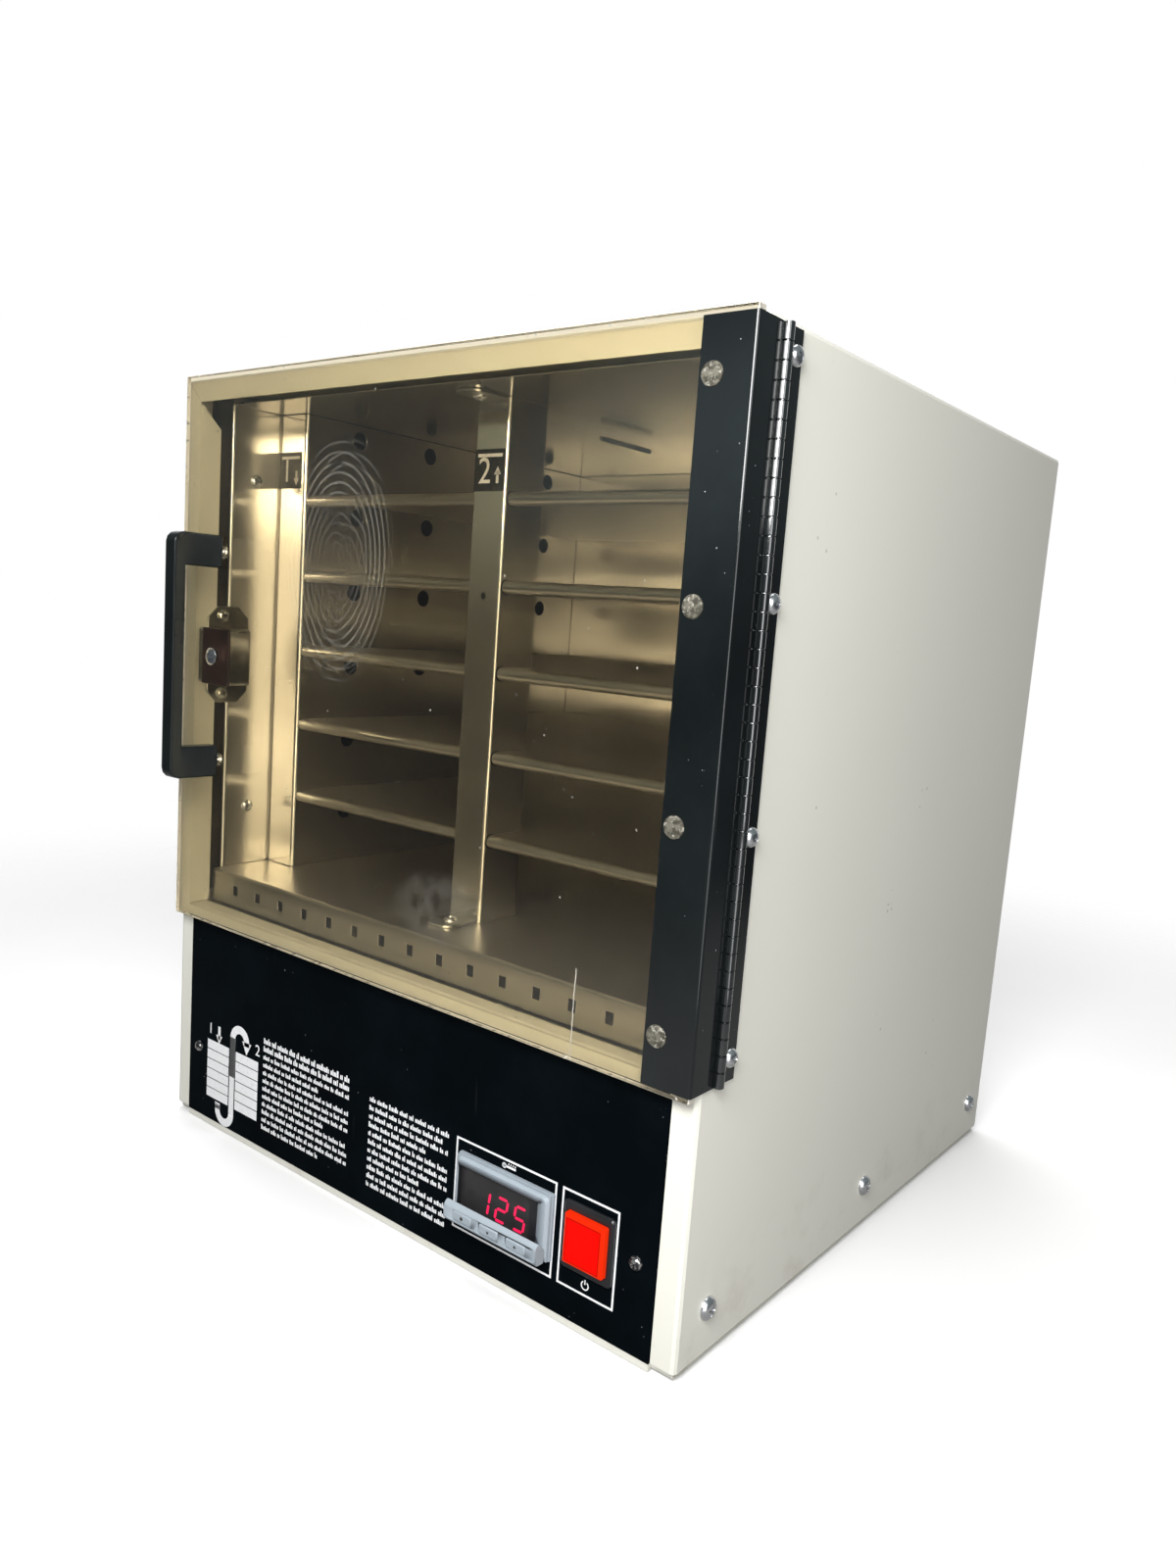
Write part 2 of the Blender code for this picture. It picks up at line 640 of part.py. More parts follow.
def build_chamber(root, steel, foam):
    """Insulation jacket, liner, ceiling and perforated floor of the warm chamber."""
    outside = CHAMBER_SIDE + LINER
    rear = FRONT + CHAMBER_BACK
    front = FRONT + CHAMBER_FRONT
    middle = LINER / 2
    low = CHAMBER_FLOOR - LINER_OVERHANG
    high = CHAMBER_TOP + LINER_OVERHANG - 2 * FIT
    path = [(-CHAMBER_SIDE - middle, front), (-CHAMBER_SIDE - middle, rear + middle),
            (CHAMBER_SIDE + middle, rear + middle), (CHAMBER_SIDE + middle, front)]
    place("chamber_liner", prism(strip_outline(path, LINER, DUCT_BEND), "Z", low, high), steel, root)
    edge = CHAMBER_SIDE - FIT - middle
    path = [(-edge, high), (-edge, CHAMBER_TOP + middle), (edge, CHAMBER_TOP + middle), (edge, high)]
    place("chamber_ceiling", prism(strip_outline(path, LINER, DUCT_BEND), "Y", front, rear - DUCT_BEND), steel, root)
    strip = FRONT + STRIP_FRONT + middle
    path = [(strip, OPENING_BOTTOM), (strip, CHAMBER_FLOOR - middle),
            (rear - FIT - middle, CHAMBER_FLOOR - middle), (rear - FIT - middle, low)]
    floor_half = CHAMBER_SIDE - 2 * FIT
    floor = place("chamber_floor", prism(strip_outline(path, LINER, DUCT_BEND), "X", -floor_half, floor_half),
                  steel, root)
    cut = bmesh.new()
    for x in levels(0.0, STRIP_HOLE_PITCH, STRIP_HOLE_COUNT):
        add_box(cut, (x - STRIP_HOLE_WIDTH / 2, strip - 2 * LINER, STRIP_HOLE_LEVEL - STRIP_HOLE_HEIGHT / 2),
                (x + STRIP_HOLE_WIDTH / 2, strip + 2 * LINER, STRIP_HOLE_LEVEL + STRIP_HOLE_HEIGHT / 2))
    drill(floor, cut)
    shell = SIDE - SKIN - FIT
    lid = CABINET_HEIGHT - SKIN - FIT
    jacket = place("insulation_jacket", box((-shell, FRONT + RETURN_DEPTH + FIT, low - JACKET_SKIRT),
                                            (shell, BACK - SKIN - FIT, lid), SKIN_BEND / 2), foam, root)
    cut = box((-outside - FIT, FRONT, low - 2 * JACKET_SKIRT), (outside + FIT, rear + LINER + FIT, high + FIT))
    drill(jacket, cut)


def build_rack(root, steel):
    """Air ducts, centre post and the shelves with rolled front edges."""
    front = FRONT + RACK_FRONT
    rear = FRONT + CHAMBER_BACK - FIT
    low = CHAMBER_FLOOR + FIT
    high = CHAMBER_TOP - FIT
    middle = LINER / 2
    tab_spots = (SHELF_FRONT + SHELF_TAB_END, rear - SHELF_TAB_END)
    roll_levels = [CHAMBER_FLOOR + SHELF_PITCH * (SHELF_COUNT - i) for i in range(SHELF_COUNT)]
    hole_rows = [CHAMBER_TOP - AIR_TOP_DROP]
    for number, level in enumerate(roll_levels):
        hole_rows.append(level - AIR_DROP - number * AIR_DROP_STEP)
    for side, way in (("left", -1), ("right", 1)):
        wall = way * (CHAMBER_SIDE - FIT - middle)
        face = way * (RACK_SIDE + middle)
        path = [(wall, front + DUCT_FLANGE), (wall, front + middle), (face, front + middle), (face, rear)]
        duct = place("air_duct_" + side, prism(strip_outline(path, LINER, DUCT_BEND), "Z", low, high), steel, root)
        cut = bmesh.new()
        for row in hole_rows:
            for column in range(AIR_COLUMNS):
                spot = (face - way * 3 * LINER, FRONT + AIR_FIRST_COLUMN + column * AIR_COLUMN_PITCH, row)
                add_rod(cut, spot, (way, 0, 0), AIR_HOLE / 2, 6 * LINER, HOLE_STEPS)
        for level in roll_levels:
            top = level + SHELF_ROLL
            for y in tab_spots:
                add_box(cut, (face - 3 * LINER, y - SHELF_TAB / 2 - FIT, top - SHELF_SHEET - FIT),
                        (face + 3 * LINER, y + SHELF_TAB / 2 + FIT, top + FIT))
        drill(duct, cut)
    build_post(root, steel, front, low, high)
    for number, level in enumerate(roll_levels, start=1):
        build_shelf(root, steel, "shelf_" + str(number), level, rear, tab_spots)


def build_post(root, steel, front, low, high):
    """Angle post with a rounded foot at each end."""
    half = POST_WIDTH / 2
    middle = POST_SHEET / 2
    path = [(-half, front + middle), (half - middle, front + middle), (half - middle, front + POST_DEPTH)]
    bm = prism(strip_outline(path, POST_SHEET, POST_BEND - middle), "Z", low, high)
    post = place("centre_post", bm, steel, root)
    tabs = bmesh.new()
    for level in (low, high - POST_SHEET):
        tip = front - POST_TAB
        side = half - POST_BEND
        outline = [(side, front + middle), (-side, front + middle)]
        outline += arc(-side + POST_TAB_CORNER, tip + POST_TAB_CORNER, POST_TAB_CORNER, 180, 270, BEND_STEPS)
        outline += arc(side - POST_TAB_CORNER, tip + POST_TAB_CORNER, POST_TAB_CORNER, 270, 360, BEND_STEPS)
        add_prism(tabs, outline, "Z", level, level + POST_SHEET)
    drill(post, tabs, "UNION")


def build_shelf(root, steel, name, level, rear, tab_spots):
    """One shelf: flat sheet with a rolled front edge, end tabs and a slot for the post."""
    centre = SHELF_FRONT + SHELF_ROLL
    outline = arc(centre, level, SHELF_ROLL, 90, 330, ROLL_STEPS)
    outline += reversed(arc(centre, level, SHELF_ROLL - SHELF_SHEET, 90, 330, ROLL_STEPS))
    outline += [(rear, level + SHELF_ROLL - SHELF_SHEET), (rear, level + SHELF_ROLL)]
    edge = RACK_SIDE - FIT
    reach = RACK_SIDE + SHELF_TAB_REACH
    shelf = place(name, prism(outline, "X", -reach, reach), steel, root, smooth=40)
    cut = bmesh.new()
    bottom = level - 2 * SHELF_ROLL
    top = level + 2 * SHELF_ROLL
    stops = [SHELF_FRONT - SHELF_ROLL]
    for y in tab_spots:
        stops += [y - SHELF_TAB / 2, y + SHELF_TAB / 2]
    stops.append(rear + SHELF_ROLL)
    for way in (-1, 1):
        ends = sorted((way * edge, way * (reach + SHELF_ROLL)))
        for i in range(0, len(stops), 2):
            add_box(cut, (ends[0], stops[i], bottom), (ends[1], stops[i + 1], top))
    half = POST_WIDTH / 2
    add_box(cut, (half - POST_SHEET - FIT, stops[0], bottom),
            (half + FIT, FRONT + RACK_FRONT + POST_DEPTH + FIT, top))
    drill(shelf, cut)


def build_heating(root, foil, steel):
    """Heater plate under the floor and the temperature probe on the ceiling."""
    top = CHAMBER_FLOOR - LINER - FIT
    middle = FRONT + (CHAMBER_FRONT + CHAMBER_BACK) / 2
    wide = CHAMBER_SIDE - HEATER_MARGIN_SIDE
    deep = (CHAMBER_BACK - CHAMBER_FRONT) / 2 - HEATER_MARGIN_END
    outline = rounded((-wide, middle - deep), (wide, middle + deep), 2 * HEATER_THICKNESS)
    place("heater_plate", prism(outline, "Z", top - HEATER_THICKNESS, top), foil, root)
    level = CHAMBER_TOP - FIT
    outline = [(-PROBE_RADIUS, level), (PROBE_RADIUS, level)]
    outline += arc(0.0, level - 2 * PROBE_RADIUS, PROBE_RADIUS, 0, -180, ROLL_STEPS)
    probe = prism(outline, "Y", middle - PROBE_LENGTH / 2, middle + PROBE_LENGTH / 2)
    place("temperature_probe", probe, steel, root, smooth=40)


def curl_outline(way, tail):
    """Outline of a hinge leaf whose edge is curled about the pin, with its tail to the given side."""
    seam = 110
    outer = arc(PIN_X, 0.0, CURL_OUTER, 180, 360 + seam, CURL_STEPS)
    inner = arc(PIN_X, 0.0, CURL_INNER, 180, 360 + seam, CURL_STEPS)
    points = outer + inner[::-1] + tail
    return [(u, PIN_Y + way * v) for u, v in points]


def knuckle_cuts(bm, first, way):
    """Add a box over every second knuckle of a leaf."""
    wide = 2 * CURL_OUTER
    for i in range(first, KNUCKLE_COUNT, 2):
        low = HINGE_BOTTOM + i * KNUCKLE_PITCH - FIT / 2
        high = low + KNUCKLE_PITCH + FIT
        if i == 0:
            low -= KNUCKLE_PITCH
        if i == KNUCKLE_COUNT - 1:
            high += KNUCKLE_PITCH
        ends = sorted((PIN_Y + way * (CURL_OUTER + FIT), PIN_Y - way * wide))
        add_box(bm, (PIN_X - wide, ends[0], low), (PIN_X + wide, ends[1], high))


def build_hinge(root, door, zinc, black, rivet_mat):
    """Continuous hinge: leaf on the cabinet, angle on the door, pin, screws and rivets."""
    inner = PIN_X - CURL_OUTER
    outer = PIN_X - CURL_INNER
    top = HINGE_BOTTOM + HINGE_LENGTH
    outline = curl_outline(1, [(outer, HINGE_LEAF), (inner, HINGE_LEAF)])
    leaf = place("hinge_leaf", prism(outline, "Z", HINGE_BOTTOM, top), black, root, smooth=40)
    cut = bmesh.new()
    knuckle_cuts(cut, 1, 1)
    screw_y = FRONT + LEAF_SCREW_SETBACK
    for z in levels(PANE_MIDDLE, LEAF_SCREW_PITCH, LEAF_SCREW_COUNT):
        add_rod(cut, (outer + SKIN, screw_y, z), (-1, 0, 0), LEAF_SCREW_SHANK + FIT, 3 * SKIN, HOLE_STEPS)
    drill(leaf, cut)
    for number, z in enumerate(levels(PANE_MIDDLE, LEAF_SCREW_PITCH, LEAF_SCREW_COUNT), start=1):
        length = HINGE_SHEET + SKIN + 2 * FIT
        place("hinge_screw_" + str(number),
              screw(LEAF_SCREW_HEAD, LEAF_SCREW_RISE, LEAF_SCREW_SHANK, length), zinc, root,
              location=(outer + FIT, screw_y, z), rotation=toward((1, 0, 0)), smooth=50)
    rod = turned([(0.0, top), (PIN_RADIUS, top), (PIN_RADIUS, HINGE_BOTTOM), (0.0, HINGE_BOTTOM)], TURN_STEPS)
    place("hinge_pin", rod, zinc, root, location=(PIN_X, PIN_Y, 0.0), smooth=40)
    here = PIN_Y
    back = here - (ANGLE_FRONT + HINGE_SHEET)
    face = here - ANGLE_FRONT
    tip = SIDE + FIT + HINGE_SHEET - ANGLE_FLANGE
    tail = arc(outer - HINGE_BEND, face - HINGE_BEND, HINGE_BEND, 0, 90, BEND_STEPS)
    tail += [(tip, face), (tip, back), (inner, back)]
    outline = curl_outline(-1, tail)
    outline = [(u - PIN_X, v - PIN_Y) for u, v in outline]
    low = HINGE_BOTTOM
    angle = place("hinge_angle", prism(outline, "Z", low, top), black, door, smooth=40)
    cut = bmesh.new()
    knuckle_cuts(cut, 0, -1)
    rivet_x = SIDE - RIVET_INSET
    for z in levels(PANE_MIDDLE, RIVET_PITCH, RIVET_COUNT):
        add_rod(cut, (rivet_x, ANGLE_FRONT - SKIN, z), (0, 1, 0), RIVET_SHANK + FIT, 3 * SKIN, HOLE_STEPS)
    bmesh.ops.translate(cut, verts=cut.verts[:], vec=(-PIN_X, -PIN_Y, 0.0))
    drill(angle, cut)
    grip = PANE_BACK + FIT - (ANGLE_FRONT - FIT)
    for number, z in enumerate(levels(PANE_MIDDLE, RIVET_PITCH, RIVET_COUNT), start=1):
        profile = dome(RIVET_HEAD, RIVET_RISE) + [(RIVET_SHANK, 0.0), (RIVET_SHANK, -grip),
                                                  (RIVET_HEAD, -grip), (RIVET_HEAD, -grip - RIVET_TAIL),
                                                  (0.0, -grip - RIVET_TAIL)]
        place("rivet_" + str(number), turned(profile, TURN_STEPS), rivet_mat, door,
              location=(rivet_x - PIN_X, ANGLE_FRONT - FIT - PIN_Y, z), rotation=toward((0, -1, 0)), smooth=50)


def build_door(door, mats):
    """Tinted pane, pull handle, strike plate and their fasteners."""
    shift = Vector((-PIN_X, -PIN_Y, 0.0))
    low = Vector((PANE_FREE, PANE_FRONT, PANE_BOTTOM)) + shift
    high = Vector((SIDE, PANE_BACK, PANE_BOTTOM + PANE_HEIGHT)) + shift
    pane = place("door_pane", box(low, high, PANE_EDGE), mats["bronze"], door)
    grip_x = PANE_FREE + HANDLE_INSET
    arm_levels = levels(PANE_MIDDLE, HANDLE_HEIGHT - HANDLE_ARM, 2)
    strike_x = PANE_FREE + STRIKE_INSET
    cut = bmesh.new()
    front = PANE_FRONT - PANE_THICKNESS
    through = 3 * PANE_THICKNESS
    for z in levels(PANE_MIDDLE, RIVET_PITCH, RIVET_COUNT):
        add_rod(cut, (SIDE - RIVET_INSET, front, z), (0, 1, 0), RIVET_SHANK + FIT, through, HOLE_STEPS)
    for z in arm_levels:
        add_rod(cut, (grip_x, front, z), (0, 1, 0), SMALL_SCREW_SHANK + FIT, through, HOLE_STEPS)
    sink = PANE_FRONT + STRIKE_BOLT_SINK + FIT
    profile = [(0.0, 0.0), (STRIKE_BOLT_HEX + FIT, 0.0), (STRIKE_BOLT_HEX + FIT, sink - front),
               (SMALL_SCREW_SHANK + FIT, sink - front), (SMALL_SCREW_SHANK + FIT, through), (0.0, through)]
    bore = turned(profile, HOLE_STEPS)
    bore.transform(Matrix.Translation((strike_x, front, PANE_MIDDLE)) @ toward((0, 1, 0)).to_matrix().to_4x4())
    join(cut, bore)
    bmesh.ops.translate(cut, verts=cut.verts[:], vec=shift)
    drill(pane, cut)
    build_handle(door, mats["black"], mats["zinc"], grip_x, arm_levels, shift)
    seat = PANE_BACK + FIT
    low = Vector((strike_x - STRIKE_WIDTH / 2, seat, PANE_MIDDLE - STRIKE_HEIGHT / 2)) + shift
    high = Vector((strike_x + STRIKE_WIDTH / 2, seat + STRIKE_THICKNESS, PANE_MIDDLE + STRIKE_HEIGHT / 2)) + shift
    strike = place("strike_plate", box(low, high), mats["maroon"], door)
    cut = bmesh.new()
    add_rod(cut, (strike_x, seat - STRIKE_THICKNESS, PANE_MIDDLE), (0, 1, 0), SMALL_SCREW_SHANK + FIT,
            3 * STRIKE_THICKNESS, HOLE_STEPS)
    bmesh.ops.translate(cut, verts=cut.verts[:], vec=shift)
    drill(strike, cut)
    head = PANE_FRONT + STRIKE_BOLT_SINK
    length = seat + STRIKE_THICKNESS - head
    rise = STRIKE_BOLT_SINK - FIT
    bolt = turned([(0.0, rise), (STRIKE_BOLT_HEX, rise), (STRIKE_BOLT_HEX, 0.0), (SMALL_SCREW_SHANK, 0.0),
                   (SMALL_SCREW_SHANK, -length), (0.0, -length)], 6)
    place("strike_bolt", bolt, mats["zinc"], door, location=Vector((strike_x, head, PANE_MIDDLE)) + shift,
          rotation=toward((0, -1, 0)))


def join(bm, other):
    """Move a second bmesh into the first."""
    mesh = bpy.data.meshes.new("join")
    other.to_mesh(mesh)
    other.free()
    bm.from_mesh(mesh)
    bpy.data.meshes.remove(mesh)


def build_handle(door, black, zinc, grip_x, arm_levels, shift):
    """Flat pull handle and the two screws that hold it from inside."""
    low = PANE_MIDDLE - HANDLE_HEIGHT / 2
    high = PANE_MIDDLE + HANDLE_HEIGHT / 2
    seat = PANE_FRONT - FIT
    tip = PANE_FRONT - HANDLE_REACH
    bar = tip + HANDLE_BAR
    outline = [(seat, high)]
    outline += arc(tip + HANDLE_CORNER, high - HANDLE_CORNER, HANDLE_CORNER, 90, 180, BEND_STEPS)
    outline += arc(tip + HANDLE_CORNER, low + HANDLE_CORNER, HANDLE_CORNER, 180, 270, BEND_STEPS)
    outline += [(seat, low), (seat, low + HANDLE_ARM), (bar, low + HANDLE_ARM), (bar, high - HANDLE_ARM),
                (seat, high - HANDLE_ARM)]
    outline = [(u + shift.y, v) for u, v in outline]
    bm = prism(outline, "X", grip_x - HANDLE_WIDTH / 2 + shift.x, grip_x + HANDLE_WIDTH / 2 + shift.x)
    sides = [f for f in bm.faces if len(f.verts) > 4]
    rims = [e for e in bm.edges if any(f in sides for f in e.link_faces)]
    bmesh.ops.bevel(bm, geom=rims, offset=HANDLE_EDGE, segments=2, profile=0.5, affect="EDGES", material=-1)
    handle = place("pull_handle", bm, black, door, smooth=40)
    cut = bmesh.new()
    for z in arm_levels:
        add_rod(cut, (grip_x, seat + SKIN, z), (0, -1, 0), SMALL_SCREW_SHANK + FIT,
                HANDLE_SCREW_DEPTH + SKIN + FIT, HOLE_STEPS)
    bmesh.ops.translate(cut, verts=cut.verts[:], vec=shift)
    drill(handle, cut)
    length = PANE_BACK + FIT - seat + HANDLE_SCREW_DEPTH
    for number, z in enumerate(arm_levels, start=1):
        place("handle_screw_" + str(number), screw(SMALL_SCREW_HEAD, SMALL_SCREW_RISE, SMALL_SCREW_SHANK, length),
              zinc, door, location=Vector((grip_x, PANE_BACK + FIT, z)) + shift, rotation=toward((0, 1, 0)), smooth=50)


def build_catch(root, black, zinc):
    """Magnetic catch on the left jamb with its two screws."""
    base = -OPENING_SIDE + FIT
    front = FRONT + CATCH_PLATE_FRONT
    rear = front + CATCH_PLATE_DEPTH
    low = PANE_MIDDLE - CATCH_PLATE_HEIGHT / 2
    high = PANE_MIDDLE + CATCH_PLATE_HEIGHT / 2
    cut = CATCH_CHAMFER
    body_low = PANE_MIDDLE - CATCH_BODY_HEIGHT / 2
    body_high = PANE_MIDDLE + CATCH_BODY_HEIGHT / 2
    outline = [(front + cut, low), (rear - cut, low), (rear, low + cut), (rear, high - cut), (rear - cut, high),
               (front + cut, high), (front, high - cut), (front, low + cut)]
    plate = place("catch_plate", prism(outline, "X", base, base + CATCH_PLATE), black, root)
    hole = bmesh.new()
    spots = levels(PANE_MIDDLE, CATCH_SCREW_SPAN, 2)
    screw_y = FRONT + CATCH_SCREW_SETBACK
    for z in spots:
        add_rod(hole, (base - CATCH_PLATE, screw_y, z), (1, 0, 0), SMALL_SCREW_SHANK + FIT, 3 * CATCH_PLATE, HOLE_STEPS)
    drill(plate, hole)
    seat = base + CATCH_PLATE
    place("catch_magnet", box((seat + FIT, FRONT, body_low),
                              (-OPENING_SIDE + CATCH_BODY_REACH, FRONT + CATCH_BODY_DEPTH, body_high), CATCH_EDGE),
          black, root)
    for number, z in enumerate(spots, start=1):
        place("catch_screw_" + str(number), screw(SMALL_SCREW_HEAD, SMALL_SCREW_RISE, SMALL_SCREW_SHANK, CATCH_PLATE),
              zinc, root, location=(seat + FIT, screw_y, z), rotation=toward((1, 0, 0)), smooth=50)


def build_controls(root, mats):
    """Temperature controller, its lens and keys, and the power switch with its button."""
    seat = PANEL_FRONT - FIT
    middle = CONTROL_BOTTOM + CONTROL_HEIGHT / 2
    face = PANEL_FRONT - CONTROL_RISE
    lens_x = CONTROL_X - (CONTROL_WIDTH - LENS_WIDTH) / 2 + LENS_MARGIN
    lens_z = CONTROL_BOTTOM + CONTROL_HEIGHT - LENS_MARGIN - LENS_HEIGHT / 2 - CONTROL_CORNER
    body = centred(CONTROL_X, middle, CONTROL_BODY_WIDTH, CONTROL_BODY_HEIGHT, CONTROL_CORNER / 2)
    bezel = centred(CONTROL_X, middle, CONTROL_WIDTH, CONTROL_HEIGHT, CONTROL_CORNER)
    eased = centred(CONTROL_X, middle, CONTROL_WIDTH - CONTROL_CORNER, CONTROL_HEIGHT - CONTROL_CORNER, CONTROL_CORNER)
    pocket = centred(lens_x, lens_z, LENS_WIDTH + 2 * FIT, LENS_HEIGHT + 2 * FIT, CONTROL_CORNER / 2)
    floor = PANEL_FRONT - LENS_RISE + LENS_DEPTH + FIT
    place("controller", loft([(body, PANEL_FRONT + CONTROL_BODY_DEPTH), (body, seat), (bezel, seat),
                              (bezel, face + CONTROL_CORNER / 2), (eased, face), (pocket, face), (pocket, floor)]),
          mats["grey"], root)
    lens = centred(lens_x, lens_z, LENS_WIDTH, LENS_HEIGHT, CONTROL_CORNER / 2)
    place("display_lens", loft([(lens, floor - FIT), (lens, floor - FIT - LENS_DEPTH)]), mats["lens"], root)
    tip = PANEL_FRONT - LIP_RISE
    back = face - FIT
    low = CONTROL_BOTTOM
    high = CONTROL_BOTTOM + LIP_HEIGHT
    outline = [(back, high)] + arc(tip + LIP_ROUND, high - LIP_ROUND, LIP_ROUND, 90, 180, BEND_STEPS)
    outline += arc(tip + LIP_ROUND, low + LIP_ROUND, LIP_ROUND, 180, 270, BEND_STEPS) + [(back, low)]
    half = CONTROL_WIDTH / 2
    lip = place("controller_lip", prism(outline, "X", CONTROL_X - half, CONTROL_X + half), mats["grey"], root, smooth=40)
    cut = bmesh.new()
    level = (low + high) / 2
    spots = levels(CONTROL_X, KEY_PITCH, 3)
    rear = tip - KEY_PROUD + KEY_DEPTH
    for x in spots:
        add_box(cut, (x - KEY_WIDTH / 2 - FIT, tip - KEY_DEPTH, level - KEY_HEIGHT / 2 - FIT),
                (x + KEY_WIDTH / 2 + FIT, rear + KEY_TRAVEL + FIT, level + KEY_HEIGHT / 2 + FIT))
    drill(lip, cut)
    for number, x in enumerate(spots, start=1):
        half_w = KEY_WIDTH / 2
        half_h = KEY_HEIGHT / 2
        bm = box((-half_w, -KEY_PROUD, -half_h), (half_w, KEY_DEPTH - KEY_PROUD, half_h), KEY_EDGE)
        place("controller_key_" + str(number), bm, mats["grey"], root, location=(x, tip, level))
    rise = PANEL_FRONT - SWITCH_BEZEL_RISE
    wide = SWITCH_BEZEL_WIDTH - 2 * SWITCH_BODY_MARGIN
    tall = SWITCH_BEZEL_HEIGHT - 2 * SWITCH_BODY_MARGIN
    body = centred(SWITCH_X, SWITCH_HEIGHT, wide, tall, SWITCH_EDGE)
    bezel = centred(SWITCH_X, SWITCH_HEIGHT, SWITCH_BEZEL_WIDTH, SWITCH_BEZEL_HEIGHT, 2 * SWITCH_EDGE)
    eased = centred(SWITCH_X, SWITCH_HEIGHT, SWITCH_BEZEL_WIDTH - 2 * SWITCH_EDGE,
                    SWITCH_BEZEL_HEIGHT - 2 * SWITCH_EDGE, SWITCH_EDGE)
    well = centred(SWITCH_X, SWITCH_HEIGHT, BUTTON_WIDTH + 2 * FIT, BUTTON_HEIGHT + 2 * FIT, SWITCH_EDGE)
    end = PANEL_FRONT - BUTTON_RISE + BUTTON_LENGTH + BUTTON_TRAVEL + WELL_SPARE
    place("switch_bezel", loft([(body, PANEL_FRONT + SWITCH_BODY_DEPTH), (body, seat), (bezel, seat),
                                (bezel, rise + SWITCH_EDGE), (eased, rise), (well, rise), (well, end)]),
          mats["black"], root)
    side = centred(0.0, 0.0, BUTTON_WIDTH, BUTTON_HEIGHT, SWITCH_EDGE)
    crown = centred(0.0, 0.0, BUTTON_WIDTH - BUTTON_EDGE, BUTTON_HEIGHT - BUTTON_EDGE, SWITCH_EDGE)
    place("power_button", loft([(side, BUTTON_LENGTH), (side, BUTTON_EDGE / 2), (crown, 0.0)]), mats["red"], root,
          location=(SWITCH_X, PANEL_FRONT - BUTTON_RISE, SWITCH_HEIGHT))


def build_screws(root, zinc, black):
    """Dome screws along the side skirts and at the ends of the control panel."""
    for side, way in (("left", -1), ("right", 1)):
        for number, y in enumerate(levels(0.0, SIDE_SCREW_PITCH, 3), start=1):
            place("side_screw_" + side + "_" + str(number),
                  screw(SIDE_SCREW_HEAD, SIDE_SCREW_RISE, SIDE_SCREW_SHANK, SIDE_SCREW_LENGTH), zinc, root,
                  location=(way * (SIDE + FIT), y, SIDE_SCREW_HEIGHT), rotation=toward((way, 0, 0)), smooth=50)
        place("panel_screw_" + side, screw(PANEL_SCREW_HEAD, PANEL_SCREW_RISE, PANEL_SCREW_SHANK, PANEL_SCREW_LENGTH),
              black, root, location=(way * PANEL_SCREW_REACH, PANEL_FRONT - FIT, PANEL_SCREW_HEIGHT),
              rotation=toward((0, -1, 0)), smooth=50)


def main():
    """Build every piece under the cabinet root and the door pivot."""
    clear_scene()
    mats = {
        "cream": material("cream_paint", (0.76, 0.74, 0.66), 0.45),
        "black": material("black_finish", (0.012, 0.014, 0.018), 0.4),
        "steel": material("stainless", (0.55, 0.54, 0.51), 0.22, 1.0),
        "bronze": material("bronze_acrylic", (0.36, 0.25, 0.12), 0.08),
        "zinc": material("zinc_plate", (0.62, 0.61, 0.57), 0.3, 1.0),
        "rivet": material("rivet_alloy", (0.45, 0.43, 0.38), 0.45, 1.0),
        "maroon": material("strike_paint", (0.05, 0.012, 0.014), 0.4),
        "grey": material("controller_grey", (0.22, 0.25, 0.29), 0.45),
        "lens": material("display_window", (0.02, 0.006, 0.008), 0.12),
        "red": material("button_red", (0.72, 0.02, 0.01), 0.2),
        "foam": material("insulation", (0.03, 0.03, 0.03), 0.9),
        "foil": material("heater_mat", (0.25, 0.09, 0.04), 0.6),
    }
    root = bpy.data.objects.new("cabinet_root", None)
    bpy.context.scene.collection.objects.link(root)
    door = bpy.data.objects.new("door_pivot", None)
    bpy.context.scene.collection.objects.link(door)
    door.parent = root
    door.location = (PIN_X, PIN_Y, 0.0)
    build_wrapper(root, mats["cream"])
    build_base(root, mats["cream"], mats["black"])
    build_rear(root, mats["cream"], mats["black"])
    build_chamber(root, mats["steel"], mats["foam"])
    build_rack(root, mats["steel"])
    build_heating(root, mats["foil"], mats["steel"])
    build_hinge(root, door, mats["zinc"], mats["black"], mats["rivet"])
    build_door(door, mats)
    build_catch(root, mats["black"], mats["zinc"])
    build_controls(root, mats)
    build_screws(root, mats["zinc"], mats["black"])


main()
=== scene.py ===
"""Finishes, fasteners, print and studio for a countertop warming cabinet with a hinged bronze door."""
import json
import math

import bmesh
import bpy
from bpy.props import FloatProperty, FloatVectorProperty, IntProperty, PointerProperty, StringProperty
from mathutils import Matrix, Quaternion, Vector

